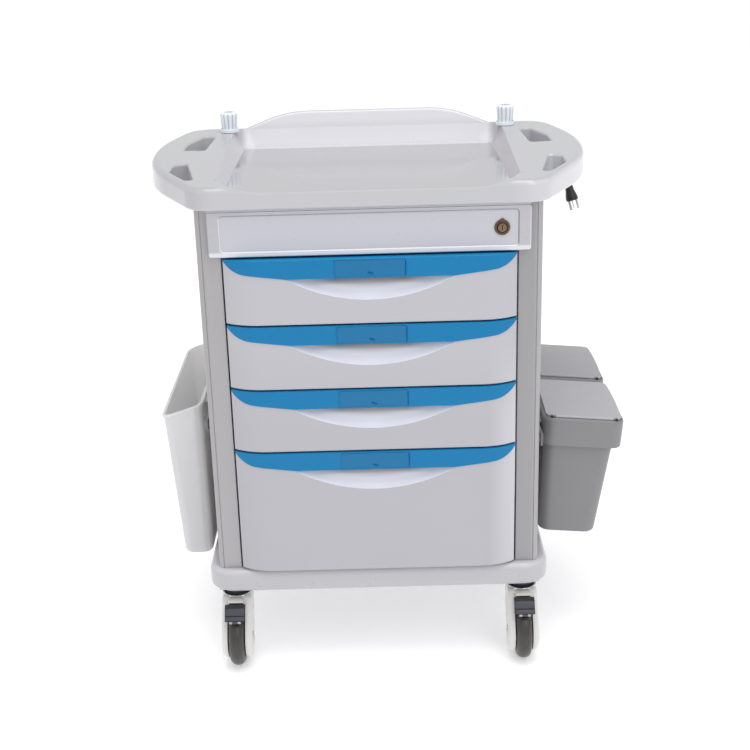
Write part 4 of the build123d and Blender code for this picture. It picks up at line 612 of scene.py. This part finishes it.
def joined(pieces):
    clear_selection()
    for piece in pieces:
        piece.select_set(True)
    bpy.context.view_layer.objects.active = pieces[0]
    if len(pieces) > 1:
        bpy.ops.object.join()
    return bpy.context.object


# ------------------------------------------------------------------ lock, fascia, labels
LOCK_X, LOCK_Z = 209.5, 776.0
LOCK_FRONT_Y = -235.5
LOCK_TAB_RISE = 11.2
BARREL_PROUD = 0.6
KEYWAY_HALF_WIDTH, KEYWAY_HALF_HEIGHT = 0.9, 3.6
WORKTOP_RIB = ((-255, -234.8, 811.4), (255, -230.5, 815.4))
LABEL_Y = -249.82
LABEL_LIP_DROPS = (30.6, 29.2)
LABEL_LIP_RUNS = ((-55.2, -9.5), (9.5, 55.2))
LABEL_EDGE_X, LABEL_EDGE_HALF_WIDTH = 56.3, 0.7
LABEL_EDGE_DROPS = (27.5, 3.5)
NOTCH_X, NOTCH_DROP = 0.5, 23.0
NOTCH_TURN = math.radians(18)


def dress_lock():
    ring = turned((LOCK_X, LOCK_FRONT_Y, LOCK_Z), FORWARD, [
        (0, 12.3), (0.5, 12.2), (0.9, 11.4), (0.9, 9.6), (0.3, 9.1), (0.3, 8.2), (0, 8.2)], 64)
    settle(ring, "lock_escutcheon_ring", "lock_bronze", "cart")
    tab = turned((LOCK_X, LOCK_FRONT_Y, LOCK_Z + LOCK_TAB_RISE), FORWARD, [
        (0, 3.6), (0.6, 3.5), (1.0, 3.0), (1.0, 0.5)], 32)
    settle(tab, "lock_cover_tab", "lock_bronze", "cart")
    face = turned((LOCK_X, LOCK_FRONT_Y - BARREL_PROUD, LOCK_Z), FORWARD, [
        (0, 6.9), (0.7, 6.8), (1.1, 6.2), (1.1, 4.4), (0.7, 4.0), (0.7, 1.0)], 48)
    settle(face, "lock_barrel_face", "barrel_bronze", "lock_barrel")
    low = (LOCK_X - KEYWAY_HALF_WIDTH, LOCK_FRONT_Y - 1.8, LOCK_Z - KEYWAY_HALF_HEIGHT)
    high = (LOCK_X + KEYWAY_HALF_WIDTH, LOCK_FRONT_Y - 0.8, LOCK_Z + KEYWAY_HALF_HEIGHT)
    settle(bevelled_block(low, high, 0.25), "lock_keyway", "shadow_black", "lock_barrel")


def dress_fascia():
    """The rib under the worktop that closes the gap over the fascia."""
    settle(bevelled_block(*WORKTOP_RIB, 0.4), "worktop_under_rib", "fascia_white", "cart")


def dress_labels():
    """On each label cover a lip below, an edge at both ends and the finger notch. The left edge is
    in the bands' lighter blue, and the right edge and the notch in a dark blue: painted light and
    shade.
    """
    for number, top in enumerate(DRAWER_TOPS, start=1):
        name, body = f"drawer_{number}_label", f"drawer_{number}"
        low_z, high_z = (top - drop for drop in LABEL_LIP_DROPS)
        lip = joined([bevelled_block((x0, LABEL_Y - 0.5, low_z), (x1, LABEL_Y, high_z), 0.2)
                      for x0, x1 in LABEL_LIP_RUNS])
        settle(lip, f"{name}_lip", "pull_blue", body)
        low_z, high_z = (top - drop for drop in LABEL_EDGE_DROPS)
        for side, x, finish in (("left", -LABEL_EDGE_X, "pull_blue"),
                                ("right", LABEL_EDGE_X, "shade_line_blue")):
            edge = bevelled_block((x - LABEL_EDGE_HALF_WIDTH, LABEL_Y - 0.35, low_z),
                                  (x + LABEL_EDGE_HALF_WIDTH, LABEL_Y + 0.3, high_z), 0.25)
            settle(edge, f"{name}_{side}_edge", finish, body)
        notch = place_turned(centred_block(4.6, 0.25, 1.3, 0.1),
                             (NOTCH_X, LABEL_Y - 0.3, top - NOTCH_DROP), NOTCH_TURN, "Y")
        settle(notch, f"{name}_notch", "shade_line_blue", body)


# ------------------------------------------------------------------ pole nuts, lidded bins
POLE_SEAT_Z = 864.9
EAR_FRONTS = {"front": -176.0, "rear": 28.0}
EARS = ((303.0, 429.5), (413.6, 419.8))


def dress_poles():
    """A shouldered collar round the foot of each hand nut."""
    for name, side in (("left", -1), ("right", 1)):
        collar = turned((side * POLE_X, POLE_Y, 0), (0, 0, 1), [
            (POLE_SEAT_Z, 15.5), (POLE_SEAT_Z, 17.6), (POLE_SEAT_Z + 2.0, 17.6),
            (POLE_SEAT_Z + 6.0, 16.9), (POLE_SEAT_Z + 6.6, 16.3), (POLE_SEAT_Z + 6.2, 15.5)],
            72, hollow=True)
        settle(collar, f"{name}_pole_collar", "collar_white", "cart")


def dress_bins():
    """Small discs of painted shadow in the lids' hinge notches, on the ears at the front corners
    of both collars.
    """
    for name, ear_front in EAR_FRONTS.items():
        pins = [turned((x, ear_front, z), FORWARD, [
            (-0.4, 2.0), (1.2, 2.0), (1.8, 1.5), (1.8, 0.5)], 24) for x, z in EARS]
        settle(joined(pins), f"{name}_lid_notch_shadows", "shadow_black", "cart")


# ------------------------------------------------------------------ casters
CASTER_X, CASTER_Y = 250.5, 196.0
CASTERS = {
    "front_left": (-CASTER_X, -CASTER_Y), "front_right": (CASTER_X, -CASTER_Y),
    "rear_left": (-CASTER_X, CASTER_Y), "rear_right": (CASTER_X, CASTER_Y),
}
TRAIL = 35.0
WHEEL_RADIUS = 50.0
HOOD_HALF_WIDTH = 25.0
HOOD_TOP_Z = 126.1
RACE_LOW_Z, RACE_HIGH_Z = 121.5, 128.4
RACE_FORWARD, RACE_STRETCH = 2.5, 1.12
PEDAL_FORWARD, PEDAL_PIVOT_Z = 28.0, 110.0
# Points of the pedal's face, forward of and above its pivot. The foot plate ends at the second,
# and the release lip at the third.
PLATE_TOP, PLATE_FOOT, LIP_FOOT = (31.0, 10.0), (39.0, -3.0), (44.0, -10.0)
PAD_HALF_WIDTH = 16.4
SHOE_FORWARD, SHOE_DROP = 43.6, 12.4
NOSE_HALF_WIDTH = 13.5


def make_wheel(corner, x, y):
    """A grey tread round a paler core with a stepped hub on both sides."""
    centre = (x, y - TRAIL, WHEEL_RADIUS)
    tyre = turned(centre, (1, 0, 0), [
        (-13, 37.5), (-13, 39.5), (-12.4, 42.5), (-10.8, 45.3), (-8, 47.9), (-4.6, 49.4),
        (-1.5, 49.95), (1.5, 49.95), (4.6, 49.4), (8, 47.9), (10.8, 45.3), (12.4, 42.5),
        (13, 39.5), (13, 37.5)], 96)
    settle(tyre, f"{corner}_tyre", "tyre_grey", f"{corner}_wheel")
    core = turned(centre, (1, 0, 0), [
        (-14.4, 4.2), (-14.4, 14), (-13.6, 15), (-9, 20), (-7.4, 23), (-7.4, 33), (-9, 35.5),
        (-13.2, 36.5), (-13.2, 38), (13.2, 38), (13.2, 36.5), (9, 35.5), (7.4, 33), (7.4, 23),
        (9, 20), (13.6, 15), (14.4, 14), (14.4, 4.2)], 96)
    settle(core, f"{corner}_wheel_core", "wheel_core", f"{corner}_wheel")
    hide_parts(f"{corner}_wheel")


def make_axle_caps(corner, x, y):
    caps = [turned((x + side * HOOD_HALF_WIDTH, y - TRAIL, WHEEL_RADIUS), (side, 0, 0), [
        (0, 8.5), (1.4, 8.5), (2.2, 7.8), (2.2, 5.2), (1.2, 4.8), (1.2, 1.0)], 40)
        for side in (-1, 1)]
    settle(joined(caps), f"{corner}_axle_caps", "bright_steel", f"{corner}_caster")


def make_race(corner, x, y):
    """The bright oval band round the hood's head, and a dark disc inside it: painted shade under
    the base.
    """
    race = turned((x, y - RACE_FORWARD, 0), (0, 0, 1), [
        (RACE_LOW_Z, 25.0), (RACE_LOW_Z, 26.1), (RACE_LOW_Z + 1.2, 26.6),
        (RACE_HIGH_Z - 0.7, 26.6), (RACE_HIGH_Z, 26.0), (RACE_HIGH_Z, 24.6),
        (RACE_HIGH_Z - 1.6, 23.9)], 72, hollow=True)
    race.scale.y = RACE_STRETCH
    settle(race, f"{corner}_bearing_race", "bright_steel", f"{corner}_caster")
    low_z, high_z = HOOD_TOP_Z - 0.1, HOOD_TOP_Z + 0.25
    shade_disc = turned((x, y - RACE_FORWARD, 0), (0, 0, 1), [
        (low_z, 9.0), (low_z, 24.0), (high_z, 24.0), (high_z, 9.0)], 72, hollow=True)
    shade_disc.scale.y = RACE_STRETCH
    settle(shade_disc, f"{corner}_swivel_shade_disc", "mount_shade_dark", f"{corner}_caster")


def sloped_pad(x, pivot_y, start, end, margin, thickness):
    """A raised pad that lies on the pedal's sloping face, between two of its points."""
    (out_0, up_0), (out_1, up_1) = start, end
    length = math.hypot(out_1 - out_0, up_1 - up_0) - 2 * margin
    middle = (x, pivot_y - (out_0 + out_1) / 2, PEDAL_PIVOT_Z + (up_0 + up_1) / 2)
    slope = math.atan2(up_0 - up_1, out_1 - out_0)
    return place_turned(centred_block(PAD_HALF_WIDTH, length / 2, thickness, 0.5), middle, slope,
                        "X")


def dress_pedal(corner, x, pivot_y):
    """Two pads on the pedal, the brake shoe under its lip, and the hood's nose behind it."""
    pads = [sloped_pad(x, pivot_y, PLATE_TOP, PLATE_FOOT, 1.6, 0.9),
            sloped_pad(x, pivot_y, PLATE_FOOT, LIP_FOOT, 0.9, 0.8)]
    settle(joined(pads), f"{corner}_pedal_pads", "pedal_grey", f"{corner}_pedal")
    shoe_place = (x, pivot_y - SHOE_FORWARD, PEDAL_PIVOT_Z - SHOE_DROP)
    ends = [turned(shoe_place, (side, 0, 0), [
        (4.5, 1.4), (5.0, 2.2), (9.4, 2.2), (10.2, 1.5)], 24) for side in (-1, 1)]
    settle(joined(ends), f"{corner}_brake_shoe_ends", "steel", f"{corner}_pedal")
    shoe = turned(shoe_place, (1, 0, 0), [(-4.8, 1.5), (-4.4, 2.0), (4.4, 2.0), (4.8, 1.5)], 24)
    settle(shoe, f"{corner}_brake_shoe", "pedal_grey", f"{corner}_pedal")
    nose = bevelled_block((x - NOSE_HALF_WIDTH, pivot_y - 18.2, PEDAL_PIVOT_Z + 10.9),
                          (x + NOSE_HALF_WIDTH, pivot_y + 3, PEDAL_PIVOT_Z + 13.6), 1.0, 3)
    settle(nose, f"{corner}_hood_nose", "hood_white", f"{corner}_caster")


def dress_casters():
    for corner, (x, y) in CASTERS.items():
        make_wheel(corner, x, y)
        make_axle_caps(corner, x, y)
        make_race(corner, x, y)
        if corner.startswith("front"):
            dress_pedal(corner, x, y - PEDAL_FORWARD)


# ------------------------------------------------------------------ plug
PLUG_NECK_RADIUS, PLUG_LENGTH = 4.6, 46.0
# Each step of the plug's body: its length, then how much wider and thicker it ends.
PLUG_STEPS = (
    (1.2, 1.06, 1.06), (1.0, 0.9, 0.9), (1.6, 1.0, 1.0), (0.8, 1.22, 1.22), (1.6, 1.0, 1.0),
    (0.8, 0.86, 0.86), (1.6, 1.0, 1.0), (1.4, 1.35, 1.3), (3, 1.35, 1.2), (6, 1.12, 1.02),
    (8, 1.04, 1.1), (8, 1.22, 1.25), (5, 1.12, 1.12), (4, 1.0, 1.0), (1.5, 0.98, 0.98),
    (0.5, 0.93, 0.93),
)
# Each blade's turn in degrees and its place across the plug's nose.
BLADES = ((0, 8, 0), (30, -4.5, 7), (-30, -4.5, -7))
BLADE_ROOT, BLADE_REACH = 1.0, 17.0


def plug_matrix():
    down = plug_direction()
    side = Vector((0, 1, 0))
    side = (side - down * side.dot(down)).normalized()
    turn = Matrix((side, down.cross(side), down)).transposed().to_4x4()
    return Matrix.Translation(Vector(PLUG_ENTRY) * MM) @ turn


def make_plug():
    """A moulded mains plug: ribbed neck, waisted grip, flat nose and three blades."""
    clear_selection()
    bpy.ops.mesh.primitive_circle_add(vertices=48, radius=PLUG_NECK_RADIUS * MM, fill_type="NGON")
    body = bpy.context.object
    bpy.ops.object.mode_set(mode="EDIT")
    level = 0.0
    for distance, across, through in PLUG_STEPS:
        level += distance
        bpy.ops.mesh.extrude_region_move(
            TRANSFORM_OT_translate={"value": (0, 0, distance * MM)})
        bpy.ops.transform.resize(value=(across, through, 1), center_override=(0, 0, level * MM))
    bpy.ops.object.mode_set(mode="OBJECT")
    body.matrix_world = plug_matrix()
    settle(body, "plug_body", "cord_black", "cart")
    blades = []
    for degrees, dx, dy in BLADES:
        blade = bevelled_block((-3.2, -0.8, PLUG_LENGTH - BLADE_ROOT),
                               (3.2, 0.8, PLUG_LENGTH + BLADE_REACH), 0.3)
        turn = Matrix.Rotation(math.radians(degrees), 4, "Z")
        blade.matrix_world = plug_matrix() @ Matrix.Translation(metres(dx, dy, 0)) @ turn
        blades.append(blade)
    pins = settle(joined(blades), "plug_blades", "bright_steel", "cart")
    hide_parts("plug")
    return body, pins


# ------------------------------------------------------------------ rear hardware
BACK_SCREWS = [(x, z) for x in (-228, 228) for z in (205, 400, 600, 790)]
BACK_SCREWS += [(x, z) for x in (-80, 80) for z in (205, 790)]
RAIL_FACE_X, RAIL_SCREW_Y = 283, 204
RAIL_LEVELS = ((-1, 444), (1, 402))
OUTLET_XS = (-72, -10, 52)
OUTLET_Y, SLOT_Y = 257.2, 257.8
# Each slot's turn in degrees and its place round the outlet's centre.
OUTLET_SLOTS = ((0, 0, -8), (30, -7, 6), (-30, 7, 6))


def pan_head(centre, axis, radius=3.2):
    return turned(centre, axis, [(-0.4, radius), (0.7, radius), (1.5, radius * 0.72),
                                 (1.8, radius * 0.35), (1.2, radius * 0.3), (1.2, 0.3)], 24)


def dress_rear():
    """Screws of the back panel and the bins' rails, and the strip's outlets with their slots."""
    heads = [pan_head((x, BACK_FACE_Y, z), (0, 1, 0)) for x, z in BACK_SCREWS]
    settle(joined(heads), "back_panel_screws", "bright_steel", "cart")
    heads = [pan_head((side * RAIL_FACE_X, y, level), (side, 0, 0), 3.4)
             for side, level in RAIL_LEVELS for y in (-RAIL_SCREW_Y, RAIL_SCREW_Y)]
    settle(joined(heads), "bin_rail_screws", "bright_steel", "cart")
    rings = [turned((x, OUTLET_Y, STRIP_Z), (0, 1, 0), [
        (0, 18.8), (3.2, 18.8), (4.0, 18.0), (4.0, 17.0), (0.4, 16.6), (0.4, 1.0)], 56)
        for x in OUTLET_XS]
    settle(joined(rings), "strip_outlets", "strip_white", "cart")
    slots = [place_turned(centred_block(1.1, 0.3, 3.4, 0.2), (x + dx, SLOT_Y, STRIP_Z + dz),
                          math.radians(degrees), "Y")
             for x in OUTLET_XS for degrees, dx, dz in OUTLET_SLOTS]
    settle(joined(slots), "strip_outlet_slots", "shadow_black", "cart")


dress_lock()
dress_fascia()
dress_labels()
dress_poles()
dress_bins()
dress_casters()
plug_body, plug_blades = make_plug()
dress_rear()

# ------------------------------------------------------------------ studio
FLOOR_SIZE = 80
FLOOR_GLOW = 0.34
WORLD_COLOUR, WORLD_STRENGTH = (0.985, 0.988, 1, 1), 0.77
# Each light's name, place, aim, size and power, in metres and watts.
LIGHTS = (
    ("key_light", (1.5, -2.4, 3.0), (0, 0, 0.6), 1.4, 14),
    ("top_light", (0.1, -0.5, 3.4), (0, 0, 0.8), 2.2, 42),
)


def make_floor():
    clear_selection()
    bpy.ops.mesh.primitive_plane_add(size=FLOOR_SIZE, location=(0, 0, 0))
    floor = bpy.context.object
    floor.name = "studio_floor"
    paper = Finish("studio_paper", (0.90, 0.90, 0.905), 0.9, specular=0.1)
    paper.mottle(0.6, (0.895, 0.895, 0.90)).relief(60, 0.02)
    paper.set(paper.shader, {"Emission Color": (1, 1, 1, 1), "Emission Strength": FLOOR_GLOW})
    floor.data.materials.append(paper.material)


def make_lights():
    world = bpy.data.worlds.new("studio_world")
    world.use_nodes = True
    sky = world.node_tree.nodes["Background"]
    sky.inputs["Color"].default_value = WORLD_COLOUR
    sky.inputs["Strength"].default_value = WORLD_STRENGTH
    bpy.context.scene.world = world
    for name, place, target, size, power in LIGHTS:
        data = bpy.data.lights.new(name, "AREA")
        data.shape = "SQUARE"
        data.size = size
        data.energy = power
        light = bpy.data.objects.new(name, data)
        bpy.context.scene.collection.objects.link(light)
        light.location = place
        aim = Vector(target) - Vector(place)
        light.rotation_euler = aim.to_track_quat("-Z", "Y").to_euler()


make_floor()
make_lights()
bpy.context.scene.view_settings.view_transform = "Standard"
